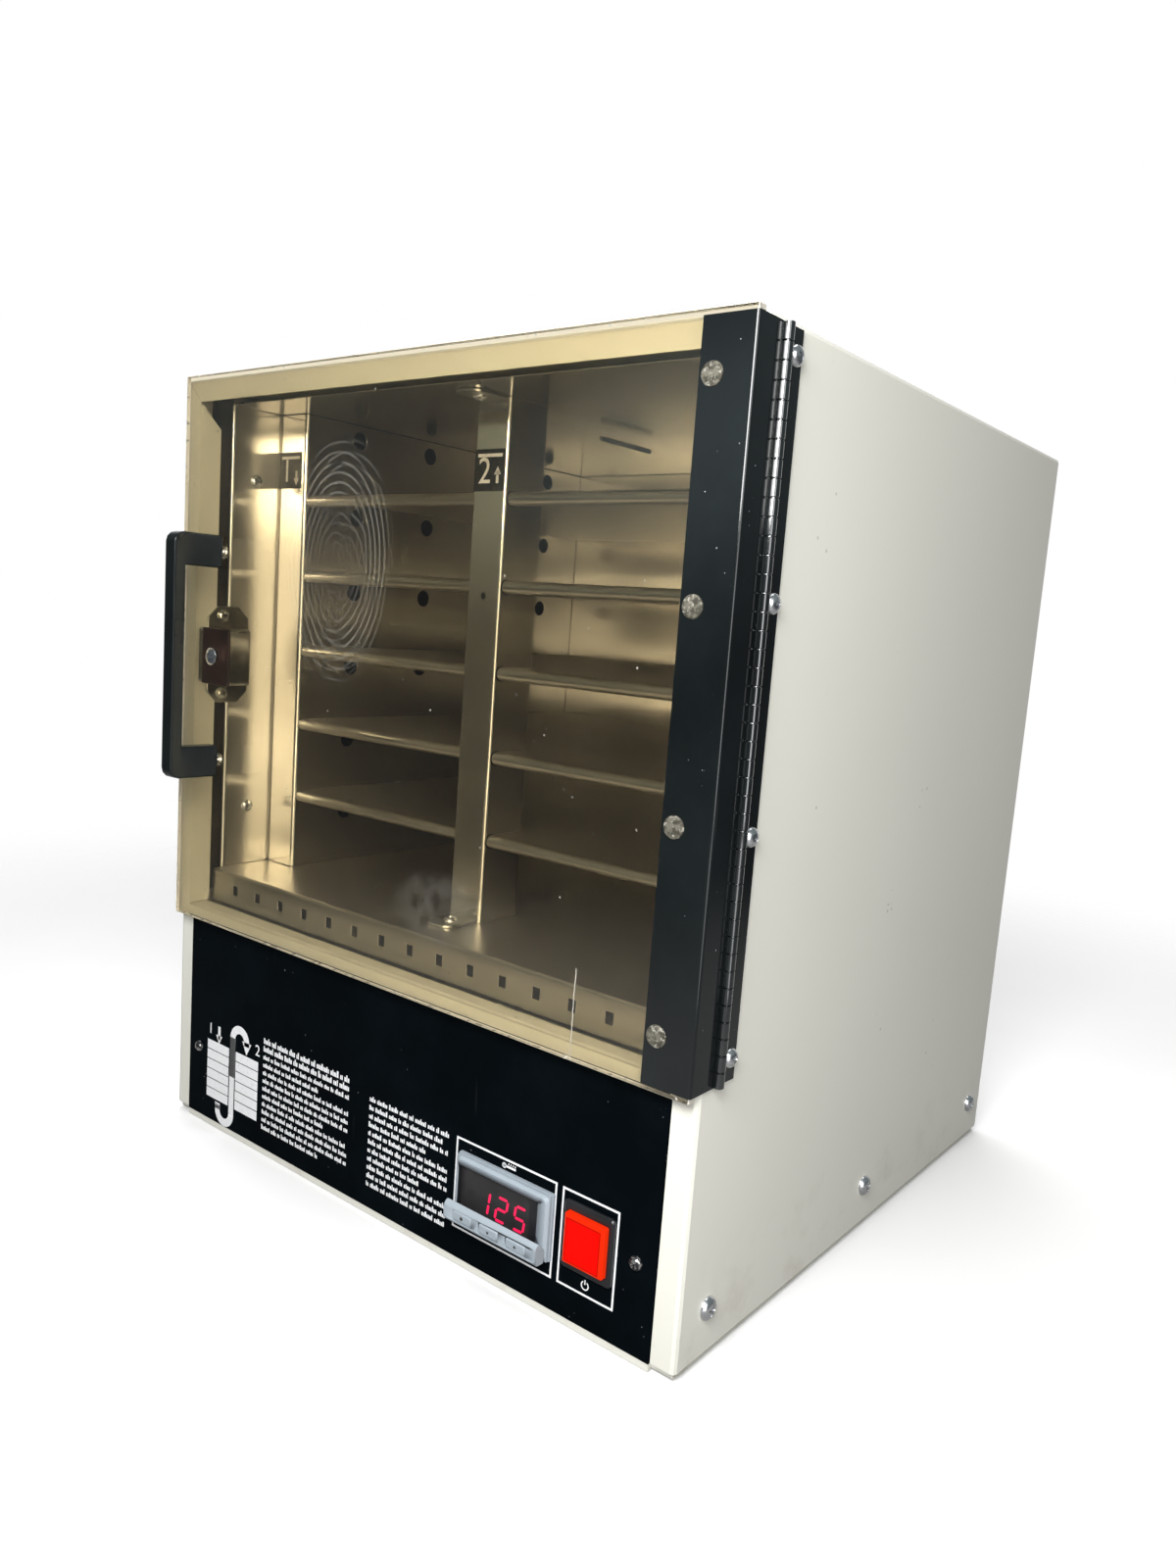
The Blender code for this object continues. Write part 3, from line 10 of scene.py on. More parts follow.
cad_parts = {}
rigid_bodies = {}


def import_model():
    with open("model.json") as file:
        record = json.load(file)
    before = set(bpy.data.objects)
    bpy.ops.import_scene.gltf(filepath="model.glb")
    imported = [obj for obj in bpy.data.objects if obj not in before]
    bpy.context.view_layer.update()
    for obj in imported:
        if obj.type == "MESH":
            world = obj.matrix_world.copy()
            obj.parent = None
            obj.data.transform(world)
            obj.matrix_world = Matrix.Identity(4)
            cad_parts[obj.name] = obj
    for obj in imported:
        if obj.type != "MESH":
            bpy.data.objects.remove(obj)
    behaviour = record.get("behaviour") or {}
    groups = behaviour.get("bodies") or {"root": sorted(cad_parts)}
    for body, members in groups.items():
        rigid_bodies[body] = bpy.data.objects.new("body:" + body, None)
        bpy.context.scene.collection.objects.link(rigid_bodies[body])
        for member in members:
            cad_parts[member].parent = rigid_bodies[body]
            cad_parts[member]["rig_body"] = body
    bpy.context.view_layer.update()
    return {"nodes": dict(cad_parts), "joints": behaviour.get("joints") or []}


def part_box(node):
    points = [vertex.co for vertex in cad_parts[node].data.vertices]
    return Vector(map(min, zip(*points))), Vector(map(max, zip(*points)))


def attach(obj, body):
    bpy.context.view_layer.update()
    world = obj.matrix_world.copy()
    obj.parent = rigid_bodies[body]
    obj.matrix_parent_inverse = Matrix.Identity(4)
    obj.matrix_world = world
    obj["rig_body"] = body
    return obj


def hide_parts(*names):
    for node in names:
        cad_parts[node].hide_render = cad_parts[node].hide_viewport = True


bl_info = {
    "name": "Warming cabinet",
    "version": (1, 0, 0),
    "blender": (4, 5, 0),
    "location": "View3D > Sidebar > Cabinet",
    "description": "Dresses the packed cabinet with finishes, fasteners, print and a studio",
    "category": "Object",
}

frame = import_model()

# Bodies that carry the pieces
CABINET = "cabinet"
DOOR = "door"

# Distance at which points merge, and the thickness of print
MERGE = 1e-6
DECAL = 0.00006

# Axis of the door hinge, and the radius within which its paint is polished
PIN = Vector(next(joint["pos_m"] for joint in frame["joints"] if joint["name"] == "door_hinge"))
BARREL = 0.0022

# Width of the shell's front flange, which the corner mitres cross
FLANGE = 0.0112

# How far the painted shade inside a duct lies from its edges, and the bounds of the liner's front strips
DUCT_SHADE_SIDE = 0.0011
DUCT_SHADE_FACE = 0.0017
JAMB_REAR = 0.0015
JAMB_FRONT = 0.0005
JAMB_INSIDE = 0.0053

# Where the painted shade at the rear of the ceiling is half way, and how gently it comes
REAR_SHADE_LINE = -0.075
REAR_SHADE_FADE = 0.085

# Marks on the face of the door pane, by x and z
SWIRL_AT = (-0.0405, 0.297)
SWIRL_SIZE = (0.034, 0.050)
CRACK_AT = 0.1108
CRACK_TOP = 0.1490
SMEAR_AT = (0.037, 0.155)
SMEAR_SIZE = (0.030, 0.016)


def colour_prop(name, description, default):
    """A colour that the user may change, written in linear values."""
    return FloatVectorProperty(name=name, description=description, subtype="COLOR", size=3,
                               min=0.0, max=1.0, default=default)


def length_prop(name, description, default):
    """A length in metres that the user may change."""
    return FloatProperty(name=name, description=description, unit="LENGTH", min=0.0, precision=5,
                         default=default)


class CabinetFinish(bpy.types.PropertyGroup):
    """Colours of the cabinet's finishes."""

    enamel: colour_prop("Enamel", "Cream enamel of the outer shell", (0.80, 0.79, 0.71))
    steel: colour_prop("Steel", "Brushed stainless of the warm chamber", (0.80, 0.775, 0.73))
    black: colour_prop("Black paint", "Gloss paint of the hinge and handle", (0.0042, 0.0056, 0.0060))
    panel: colour_prop("Panel", "Gloss black of the control panel", (0.0014, 0.0026, 0.0036))
    bronze: colour_prop("Bronze", "Tint of each face of the door pane", (0.93, 0.845, 0.655))
    strike: colour_prop("Strike", "Oxide paint of the strike plate", (0.016, 0.0045, 0.0055))
    bezel: colour_prop("Bezel", "Moulded grey of the temperature controller", (0.33, 0.38, 0.42))
    lamp: colour_prop("Lamp", "Lit red of the power button", (0.80, 0.003, 0.001))
    digits: colour_prop("Digits", "Lit red of the display", (0.86, 0.012, 0.085))


class CabinetDetail(bpy.types.PropertyGroup):
    """Sizes of the cabinet's small pieces and of the studio."""

    reading: StringProperty(name="Reading", description="Number on the display", default="125")
    digit_height: length_prop("Digit height", "Height of a display digit", 0.0103)
    print_line: length_prop("Print line", "Width of the outlines round the controls", 0.0009)
    sheet_ease: length_prop("Sheet edge", "Rounding of the edges of sheet metal", 0.00022)
    recess: FloatProperty(name="Recess", description="Length of a cross recess against its head",
                          min=0.2, max=0.8, default=0.56, subtype="FACTOR")
    floor_size: length_prop("Floor", "Radius of the studio floor", 1.7)
    turns: IntProperty(name="Turn steps", description="Faces round a turned piece", min=12, default=32)


def finish_of():
    """The scene's colours."""
    return bpy.context.scene.cabinet_finish


def detail_of():
    """The scene's sizes."""
    return bpy.context.scene.cabinet_detail


# Finishes


class Wire:
    """A shader socket that takes part in Python expressions."""

    def __init__(self, paint, socket):
        self.paint = paint
        self.socket = socket

    def _math(self, operation, first, second):
        return self.paint.node("ShaderNodeMath", {"operation": operation}, {0: first, 1: second})

    def __add__(self, other):
        return self._math("ADD", self, other)

    def __radd__(self, other):
        return self._math("ADD", other, self)

    def __sub__(self, other):
        return self._math("SUBTRACT", self, other)

    def __rsub__(self, other):
        return self._math("SUBTRACT", other, self)

    def __mul__(self, other):
        return self._math("MULTIPLY", self, other)

    def __rmul__(self, other):
        return self._math("MULTIPLY", other, self)

    def __truediv__(self, other):
        return self._math("DIVIDE", self, other)

    def __rtruediv__(self, other):
        return self._math("DIVIDE", other, self)

    def __pow__(self, other):
        return self._math("POWER", self, other)

    def __abs__(self):
        return self._math("ABSOLUTE", self, 0.0)

    def below(self, edge, soft):
        """One under the edge and nothing over it, with a soft change."""
        return self.paint.ramp(self, edge + soft, edge - soft)

    def above(self, edge, soft):
        """One over the edge and nothing under it, with a soft change."""
        return self.paint.ramp(self, edge - soft, edge + soft)


class Paint:
    """A node material built round one Principled shader."""

    def __init__(self, name, **constants):
        self.material = bpy.data.materials.new(name)
        self.material.use_nodes = True
        self.tree = self.material.node_tree
        self.shader = self.tree.nodes["Principled BSDF"]
        self.output = self.tree.nodes["Material Output"]
        for socket, value in constants.items():
            self.set(socket.replace("_", " "), value)
        self.place = self.node("ShaderNodeTexCoord", {}, {}, "Object")
        axes = self.node("ShaderNodeSeparateXYZ", {}, {0: self.place}).socket.node.outputs
        self.x, self.y, self.z = (Wire(self, axis) for axis in axes)

    @classmethod
    def of_tree(cls, tree):
        """The same tools on another node tree, such as a world's."""
        paint = cls.__new__(cls)
        paint.tree = tree
        return paint

    def seen(self, share=1.0):
        """One for rays that show the surface to the eye, and a share of it in a mirror or through glass."""
        eye, mirror, glass = (self.node("ShaderNodeLightPath", {}, {}, "Is " + kind + " Ray")
                              for kind in ("Camera", "Glossy", "Transmission"))
        return self.node("ShaderNodeMath", {"operation": "ADD", "use_clamp": True},
                         {0: eye, 1: share * (mirror + glass)})

    def facing(self):
        """One where the surface looks forward or back, and nothing where it looks sideways, up or down."""
        normal = self.node("ShaderNodeTexCoord", {}, {}, "Normal")
        return abs(self.node("ShaderNodeSeparateXYZ", {}, {0: normal}, "Y"))

    def along(self, vector, way):
        """How far a vector points along a fixed way."""
        return self.node("ShaderNodeVectorMath", {"operation": "DOT_PRODUCT"}, {0: vector, 1: way}, "Value")

    def node(self, kind, settings, inputs, out=0):
        """Add a node with its settings first and its sockets after, and return one output."""
        made = self.tree.nodes.new(kind)
        for key, value in settings.items():
            setattr(made, key, value)
        for key, value in inputs.items():
            self.join(made.inputs[key], value)
        return Wire(self, made.outputs[out])

    def join(self, socket, value):
        """Link a wire to a socket, or set the socket's value."""
        if isinstance(value, Wire):
            self.tree.links.new(value.socket, socket)
        elif socket.type == "RGBA" and len(value) == 3:
            socket.default_value = (*value, 1.0)
        else:
            socket.default_value = value

    def set(self, socket, value):
        """Give a shader socket a constant or a link."""
        self.join(self.shader.inputs[socket], value)

    def ramp(self, value, low, high):
        """Smooth step of a value between two edges."""
        return self.node("ShaderNodeMapRange", {"interpolation_type": "SMOOTHSTEP"},
                         {"Value": value, "From Min": low, "From Max": high})

    def stretch(self, x, y, z):
        """Object coordinates stretched along each axis."""
        return self.node("ShaderNodeVectorMath", {"operation": "MULTIPLY"}, {0: self.place, 1: (x, y, z)})

    def noise(self, scale, detail=2.0, rough=0.5, at=None):
        """Noise over the surface, from 0 to 1."""
        return self.node("ShaderNodeTexNoise", {},
                         {"Vector": at or self.place, "Scale": scale, "Detail": detail, "Roughness": rough})

    def mix(self, first, second, factor):
        """Blend two colours."""
        return self.node("ShaderNodeMix", {"data_type": "RGBA"}, {0: factor, 6: first, 7: second}, 2)

    def sine(self, value):
        """The sine of a value."""
        return self.node("ShaderNodeMath", {"operation": "SINE"}, {0: value})

    def least(self, first, second):
        """The smaller of two values."""
        return self.node("ShaderNodeMath", {"operation": "MINIMUM"}, {0: first, 1: second})

    def bump(self, height, distance, strength=1.0):
        """Link a height to the shader's normal."""
        self.set("Normal", self.node("ShaderNodeBump", {},
                                     {"Height": height, "Distance": distance, "Strength": strength}))

    def specks(self, scale, size, share):
        """Scattered round specks in some of the cells of a grid."""
        near = self.node("ShaderNodeTexVoronoi", {}, {"Vector": self.place, "Scale": scale}, "Distance")
        return near.below(size, size * 0.4) * self.noise(scale * 0.23, 1.0).above(1.0 - share, 0.04)

    def cover(self, factor, colour, rough, metal=0.0):
        """Lay a rougher second coat over the finish where the factor is high."""
        base = Wire(self, self.shader.outputs[0])
        coat = self.node("ShaderNodeBsdfPrincipled", {},
                         {"Base Color": colour, "Roughness": rough, "Metallic": metal})
        both = self.node("ShaderNodeMixShader", {}, {0: factor, 1: base, 2: coat})
        self.join(self.output.inputs["Surface"], both)


def shade(colour, factor):
    """A colour made darker or lighter."""
    return tuple(min(1.0, c * factor) for c in colour)


def cream_enamel():
    """Sprayed enamel on steel with soft orange peel, chips, scuffs, corner mitres and grime low down."""
    tint = finish_of().enamel
    paint = Paint("cream_enamel", Specular_IOR_Level=0.25, Coat_Roughness=0.12)
    drift = paint.noise(7.0, 3.0)
    grime = paint.noise(46.0, 5.0, 0.65).above(0.60, 0.12) * paint.z.below(0.030, 0.026)
    scuff = paint.noise(60.0, 4.0, 0.7, paint.stretch(1.0, 6.0, 1.0)).above(0.72, 0.05)
    chips = paint.specks(150.0, 0.10, 0.30)
    low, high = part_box("outer_wrapper")
    flange = paint.y.below(low.y + 0.0004, 0.0002) * paint.z.above(high.z - FLANGE, 0.0003)
    mitre = abs((high.x - abs(paint.x)) - (high.z - paint.z)).below(0.00022, 0.00012) * flange
    colour = paint.mix(shade(tint, 0.97), shade(tint, 1.03), drift)
    colour = paint.mix(colour, (0.50, 0.46, 0.37), grime * 0.35)
    colour = paint.mix(colour, shade(tint, 0.86), scuff * 0.5)
    colour = paint.mix(colour, (0.30, 0.28, 0.24), chips * 0.55 + mitre * 0.5)
    paint.set("Base Color", colour)
    paint.set("Roughness", 0.30 + 0.10 * drift + 0.18 * scuff)
    paint.set("Coat Weight", 0.06 - 0.05 * scuff)
    peel = paint.noise(900.0, 2.0)
    paint.bump(peel + 3.0 * paint.noise(140.0, 1.0) - 2.0 * mitre, 0.00003, 0.5)
    return paint.material


def brushed(name, grain, tint, rough, spread, haze, rear_shade_share=0.0, front_shade=0.0):
    """Brushed stainless with a broad sheen and faint stains, with painted shade inside the ducts, toward the
    rear and on faces that look forward or back.
    """
    paint = Paint(name, Metallic=1.0, Anisotropic=spread)
    fine = paint.noise(1.0, 2.0, 0.6, paint.stretch(*(g * 4200.0 for g in grain)))
    broad = paint.noise(1.0, 2.0, 0.5, paint.stretch(*(g * 520.0 for g in grain)))
    stain = paint.noise(27.0, 4.0, 0.6).above(0.64, 0.12)
    side, facing = abs(paint.x), paint.facing()
    duct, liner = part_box("air_duct_right")[0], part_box("chamber_liner")
    # Painted shade: the steel inside and behind the ducts goes almost black and loses its sheen, so the duct
    # holes look dark
    inside = side.above(duct.x + DUCT_SHADE_SIDE, 0.0003) * paint.y.above(duct.y + DUCT_SHADE_FACE, 0.0006)
    # Painted shade: the steel darkens toward the rear, where it lies in shadow, and loses its sheen there
    rear_shade = rear_shade_share * paint.y.above(REAR_SHADE_LINE, REAR_SHADE_FADE)
    colour = paint.mix(shade(tint, 0.90), shade(tint, 1.08), fine)
    colour = paint.mix(colour, shade(tint, 0.80), stain * 0.12 + 0.06 * broad)
    colour = paint.mix(colour, shade(tint, 0.03), inside)
    colour = paint.mix(colour, shade(tint, 0.25), rear_shade)
    # Painted shade: faces that look forward or back are darkened by their direction alone
    paint.set("Base Color", paint.mix(colour, shade(tint, 0.35), front_shade * facing))
    paint.set("Roughness", rough + 0.02 * broad + 0.012 * paint.noise(13.0, 2.0, 0.5) + 0.015 * stain)
    paint.bump(fine, 0.0000012, 0.5)
    jamb = (paint.y.below(duct.y + JAMB_REAR, 0.0006) * paint.y.above(liner[0].y + JAMB_FRONT, 0.0006)
            * side.above(liner[1].x - JAMB_INSIDE, 0.0006))
    sheen = (haze + 0.45 * haze * jamb) * (1.0 - 0.75 * facing) * (1.0 - inside) * (1.0 - rear_shade)
    paint.cover(sheen, shade(tint, 0.95), 0.52, 1.0)
    return paint.material


def wall_steel():
    """Chamber walls, brushed upright."""
    return brushed("wall_steel", (1.0, 1.0, 0.012), finish_of().steel, 0.16, 0.80, 0.33)


def ceiling_steel():
    """Chamber ceiling, smooth, with painted shade toward the rear."""
    return brushed("ceiling_steel", (0.012, 1.0, 1.0), finish_of().steel, 0.12, 0.0, 0.24, 0.7)


def shelf_steel():
    """Shelves and floor, brushed along their width, with painted shade on the faces that look forward or
    back.
    """
    return brushed("shelf_steel", (0.012, 1.0, 1.0), finish_of().steel, 0.28, 0.0, 0.34, 0.0, 0.65)


def hem_steel():
    """Hem of the liner, in a lighter copy of the chamber steel as a painted highlight."""
    # Painted highlight: the steel's tint made a third lighter
    return brushed("hem_steel", (1.0, 1.0, 0.012), shade(finish_of().steel, 1.35), 0.30, 0.0, 0.2)


def black_gloss(name, tint, rough, dust, gloss, polish=0.0):
    """Gloss black paint with dust, fine scratches and a wavy face, polished within a radius of the pin."""
    paint = Paint(name, Specular_IOR_Level=gloss, Coat_IOR=1.7, Coat_Roughness=0.05)
    if polish:
        reach = ((paint.x - PIN.x) ** 2.0 + (paint.y - PIN.y) ** 2.0) ** 0.5
        paint.set("Coat Weight", reach.below(polish, 0.0001))
    cloud = paint.noise(22.0, 4.0, 0.6)
    powder = paint.specks(420.0, 0.10, dust) + paint.specks(200.0, 0.06, dust * 0.9)
    hair = paint.noise(1.0, 2.0, 0.5, paint.stretch(300.0, 300.0, 16.0)).above(0.76, 0.02) * cloud
    colour = paint.mix(tint, shade(tint, 1.7), cloud.above(0.55, 0.2))
    colour = paint.mix(colour, (0.42, 0.43, 0.44), powder * 0.8 + hair * 0.03)
    paint.set("Base Color", colour)
    paint.set("Roughness", rough + 0.06 * cloud + 0.3 * powder)
    paint.bump(paint.noise(55.0, 2.0) + 0.2 * paint.noise(800.0, 1.0), 0.00003, 0.3)
    return paint.material


def hinge_black():
    """Gloss black of the hinge leaves."""
    return black_gloss("hinge_black", finish_of().black, 0.07, 0.34, 0.5, BARREL)


def handle_black():
    """Blue black moulding of the pull handle."""
    return black_gloss("handle_black", shade(finish_of().black, 1.3), 0.13, 0.20, 0.25)


def panel_black():
    """Gloss black face of the control panel."""
    return black_gloss("panel_black", finish_of().panel, 0.12, 0.30, 0.012)


def worn_black():
    """Black screws rubbed to bare metal by the driver."""
    paint = Paint("worn_black", Specular_IOR_Level=0.4)
    rub = paint.noise(620.0, 3.0, 0.6).above(0.56, 0.06)
    paint.set("Base Color", paint.mix((0.010, 0.011, 0.013), (0.55, 0.54, 0.52), rub))
    paint.set("Metallic", rub)
    paint.set("Roughness", 0.34 - 0.12 * rub)
    return paint.material


def moulded_black():
    """Satin black plastic of the electrical fittings, also used for the painted shade in the hole and gaps of
    the rack.
    """
    paint = Paint("moulded_black", Specular_IOR_Level=0.45)
    cloud = paint.noise(60.0, 3.0)
    paint.set("Base Color", paint.mix((0.006, 0.0065, 0.0075), (0.016, 0.017, 0.019), cloud))
    paint.set("Roughness", 0.24 + 0.16 * cloud)
    paint.bump(paint.noise(2600.0, 2.0), 0.00001, 0.5)
    return paint.material


def zinc_bright():
    """Bright zinc plate on screws, with faint stains."""
    paint = Paint("zinc_bright", Metallic=1.0)
    cloud = paint.noise(420.0, 4.0, 0.6)
    paint.set("Base Color", paint.mix((0.60, 0.61, 0.63), (0.86, 0.87, 0.88), cloud))
    paint.set("Roughness", 0.16 + 0.22 * cloud)
    paint.bump(paint.noise(1500.0, 3.0), 0.00003, 0.4)
    return paint.material


def dull_zinc():
    """Dull plated steel of the catch and its screws."""
    paint = Paint("dull_zinc", Metallic=1.0)
    cloud = paint.noise(160.0, 4.0, 0.6)
    paint.set("Base Color", paint.mix((0.52, 0.51, 0.47), (0.78, 0.77, 0.72), cloud))
    paint.set("Roughness", 0.10 + 0.14 * cloud)
    paint.bump(paint.noise(420.0, 3.0), 0.00004, 0.4)
    return paint.material


def rivet_metal():
    """Pressed alloy of the rivets, mottled where it was set."""
    paint = Paint("rivet_metal", Metallic=0.10, Specular_IOR_Level=0.2)
    mottle = paint.noise(420.0, 3.0, 0.6)
    bright = paint.noise(640.0, 3.0, 0.7).above(0.60, 0.04)
    colour = paint.mix((0.050, 0.046, 0.035), (0.145, 0.137, 0.108), mottle.above(0.5, 0.08))
    paint.set("Base Color", paint.mix(colour, (0.50, 0.48, 0.41), bright * 0.7))
    paint.set("Roughness", 0.50 + 0.2 * mottle)
    paint.bump(mottle + bright, 0.00025, 0.8)
    return paint.material


def strike_oxide():
    """Dark oxide paint of the strike plate, cloudy in tone."""
    tint = finish_of().strike
    paint = Paint("strike_oxide", Specular_IOR_Level=0.5)
    cloud = paint.noise(130.0, 4.0)
    paint.set("Base Color", paint.mix(tint, shade(tint, 2.2), cloud))
    paint.set("Roughness", 0.28 + 0.2 * cloud)
    paint.bump(paint.noise(900.0, 2.0), 0.00003, 0.5)
    return paint.material


def bezel_grey():
    """Fine grained grey moulding of the controller."""
    tint = finish_of().bezel
    paint = Paint("bezel_grey", Specular_IOR_Level=0.4)
    cloud = paint.noise(85.0, 3.0)
    dirt = paint.noise(320.0, 4.0, 0.7).above(0.66, 0.08)
    colour = paint.mix(shade(tint, 0.92), shade(tint, 1.08), cloud)
    paint.set("Base Color", paint.mix(colour, shade(tint, 0.55), dirt * 0.4))
    paint.set("Roughness", 0.40 + 0.14 * cloud)
    paint.bump(paint.noise(2400.0, 2.0), 0.000015, 0.6)
    return paint.material


def display_smoke():
    """Smoked grey window of the display, with a faint haze."""
    paint = Paint("display_smoke", Specular_IOR_Level=0.4)
    haze = paint.noise(140.0, 3.0)
    paint.set("Base Color", paint.mix((0.016, 0.015, 0.016), (0.034, 0.032, 0.033), haze))
    paint.set("Roughness", 0.16 + 0.12 * haze)
    return paint.material


def digit_glow():
    """Lit display segments, a little uneven along their length."""
    tint = finish_of().digits
    paint = Paint("digit_glow", Roughness=0.4, Emission_Strength=1.0)
    flow = paint.noise(900.0, 2.0)
    paint.set("Base Color", shade(tint, 0.4))
    paint.set("Emission Color", paint.mix(shade(tint, 0.82), shade(tint, 1.12), flow))
    return paint.material


def lamp_red():
    """Translucent red of the lit power button, with a paler rim and a fine inner border."""
    tint = finish_of().lamp
    low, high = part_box("power_button")
    paint = Paint("lamp_red", Specular_IOR_Level=0.05, Emission_Strength=0.8)
    inside = paint.least((high.x - low.x) / 2 - abs(paint.x - (low.x + high.x) / 2),
                         (high.z - low.z) / 2 - abs(paint.z - (low.z + high.z) / 2))
    line = abs(inside - 0.0017).below(0.00022, 0.00012)
    rim = inside.below(0.0016, 0.0003)
    flow = paint.noise(260.0, 3.0)
    glow = paint.mix(shade(tint, 1.05), (0.74, 0.035, 0.004), rim)
    glow = paint.mix(glow, shade(tint, 0.34), line)
    paint.set("Base Color", paint.mix(shade(tint, 0.30), shade(tint, 0.45), flow))
    paint.set("Emission Color", glow)
    paint.set("Roughness", 0.20 + 0.10 * flow)
    return paint.material


def print_white():
    """White screen print, thin in places."""
    paint = Paint("print_white", Specular_IOR_Level=0.3)
    wear = paint.noise(700.0, 4.0, 0.7)
    paint.set("Base Color", paint.mix((0.90, 0.91, 0.92), (0.76, 0.77, 0.78), wear.above(0.6, 0.1)))
    paint.set("Roughness", 0.42 + 0.2 * wear)
    return paint.material


def label_black():
    """Rubbed black of the column labels and the key signs."""
    paint = Paint("label_black", Specular_IOR_Level=0.4)
    rub = paint.noise(500.0, 4.0, 0.7)
    paint.set("Base Color", paint.mix((0.012, 0.011, 0.010), (0.05, 0.047, 0.04), rub.above(0.58, 0.12)))
    paint.set("Roughness", 0.34 + 0.25 * rub)
    return paint.material


def glass_wool():
    """Pale fibre blanket of the insulation, with painted shade on its front at the door."""
    paint = Paint("glass_wool")
    fibre = paint.noise(1.0, 5.0, 0.7, paint.stretch(900.0, 220.0, 900.0))
    wool = paint.mix((0.62, 0.55, 0.30), (0.80, 0.75, 0.52), fibre)
    # Painted shade: the front of the blanket at the door goes dark brown, standing for a shadowed gap
    facing = paint.y.below(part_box("chamber_liner")[0].y + 0.0015, 0.0008)
    paint.set("Base Color", paint.mix(wool, (0.030, 0.024, 0.017), facing))
    paint.set("Roughness", 0.85 + 0.1 * fibre)
    paint.bump(fibre, 0.0006, 0.8)
    return paint.material


def heater_rubber():
    """Orange silicone of the heater mat, with its woven backing showing."""
    paint = Paint("heater_rubber")
    weave = paint.noise(1.0, 2.0, 0.5, paint.stretch(1400.0, 1400.0, 300.0))
    paint.set("Base Color", paint.mix((0.42, 0.085, 0.03), (0.55, 0.13, 0.05), weave))
    paint.set("Roughness", 0.55 + 0.2 * weave)
    paint.bump(weave, 0.00008, 0.6)
    return paint.material


def pane_swirls(paint):
    """Polishing swirls in a rubbed patch of the pane, with the haze at its middle."""
    across = (paint.x - SWIRL_AT[0]) / SWIRL_SIZE[0]
    up = (paint.z - SWIRL_AT[1]) / SWIRL_SIZE[1]
    radius = (across ** 2.0 + up ** 2.0) ** 0.5
    offset = ((across - 0.16) ** 2.0 + (up + 0.1) ** 2.0) ** 0.5
    ring = paint.sine(radius * 74.0 + 2.0 * paint.noise(30.0, 1.0)).above(0.70, 0.25)
    loop = paint.sine(offset * 61.0 + 2.0 * paint.noise(37.0, 1.0)).above(0.74, 0.22)
    broken = paint.noise(70.0, 3.0, 0.6).above(0.46, 0.12)
    rubbed = radius.below(1.02, 0.16) * (0.35 + 0.65 * radius.above(0.55, 0.35))
    swirl = (ring * broken + loop * (1.0 - broken) * 0.8) * rubbed
    return swirl * 0.12 + radius.below(0.85, 0.35) * 0.010


def bronze_pane():
    """Bronze acrylic with sawn edges, edge chips, polishing swirls, a crack, a smear and dust."""
    low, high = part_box("door_pane")
    paint = Paint("bronze_pane", Transmission_Weight=1.0, IOR=1.49, Specular_IOR_Level=0.25)
    paint.set("Base Color", finish_of().bronze)
    inside = paint.least(paint.least(paint.x - low.x, high.x - paint.x),
                         paint.least(paint.z - low.z, high.z - paint.z))
    sawn = inside.below(0.0003, 0.0001)
    tick = paint.noise(1.0, 2.0, 0.5, paint.stretch(300.0, 20.0, 300.0)).above(0.62, 0.04)
    chip = paint.noise(260.0, 3.0, 0.6).above(0.66, 0.03) * inside.below(0.0016, 0.0008)
    wander = paint.x - CRACK_AT + 0.0006 * paint.noise(240.0, 1.0)
    crack = abs(wander).below(0.00016, 0.00008) * paint.z.below(CRACK_TOP, 0.0010)
    cloud = (((paint.x - SMEAR_AT[0]) / SMEAR_SIZE[0]) ** 2.0
             + ((paint.z - SMEAR_AT[1]) / SMEAR_SIZE[1]) ** 2.0).below(0.75, 0.6)
    smear = cloud * paint.noise(120.0, 4.0, 0.65).above(0.50, 0.2)
    dust = paint.specks(240.0, 0.10, 0.36)
    haze = paint.noise(26.0, 4.0, 0.6)
    paint.set("Roughness", 0.012 + 0.02 * haze.above(0.55, 0.2) + 0.4 * sawn)
    front = paint.y.below(low.y + 0.0006, 0.0002)
    marks = pane_swirls(paint) + crack * 0.75 + chip * 0.55 + dust * 0.40 + smear * 0.06 + 0.004 * haze
    paint.cover(sawn * (0.80 - 0.6 * tick) + front * marks, (0.86, 0.82, 0.72), 0.5)
    return paint.material


def studio_floor():
    """Pale paper under the cabinet, wider toward the camera."""
    paint = Paint("studio_floor", Specular_IOR_Level=0.1)
    fleck = paint.noise(14.0, 3.0)
    paper = paint.mix((0.90, 0.90, 0.90), (0.93, 0.93, 0.93), fleck)
    paint.set("Base Color", paint.mix((0.10, 0.10, 0.10), paper, paint.seen(0.2)))
    paint.set("Roughness", 0.80 + 0.1 * fleck)
    reach = detail_of().floor_size
    far = (paint.x ** 2.0 + paint.y ** 2.0) ** 0.5
    near = far.below(reach * 0.40, reach * 0.15)
    toward = (paint.x * 0.62 - paint.y * 0.78).above(reach * 0.45, reach * 0.25)
    paint.set("Alpha", near + (1.0 - near) * toward * far.below(reach * 0.85, reach * 0.14))
    return paint.material


FINISHES = {make.__name__: make for make in (
    cream_enamel, wall_steel, ceiling_steel, shelf_steel, hem_steel, hinge_black, handle_black, panel_black,
    worn_black, moulded_black, zinc_bright, dull_zinc, rivet_metal, strike_oxide, bezel_grey, display_smoke,
    digit_glow, lamp_red, print_white, label_black, glass_wool, heater_rubber, bronze_pane, studio_floor)}


def finish(name):
    """The named finish, made when it is first needed."""
    return bpy.data.materials.get(name) or FINISHES[name]()


# Modelling


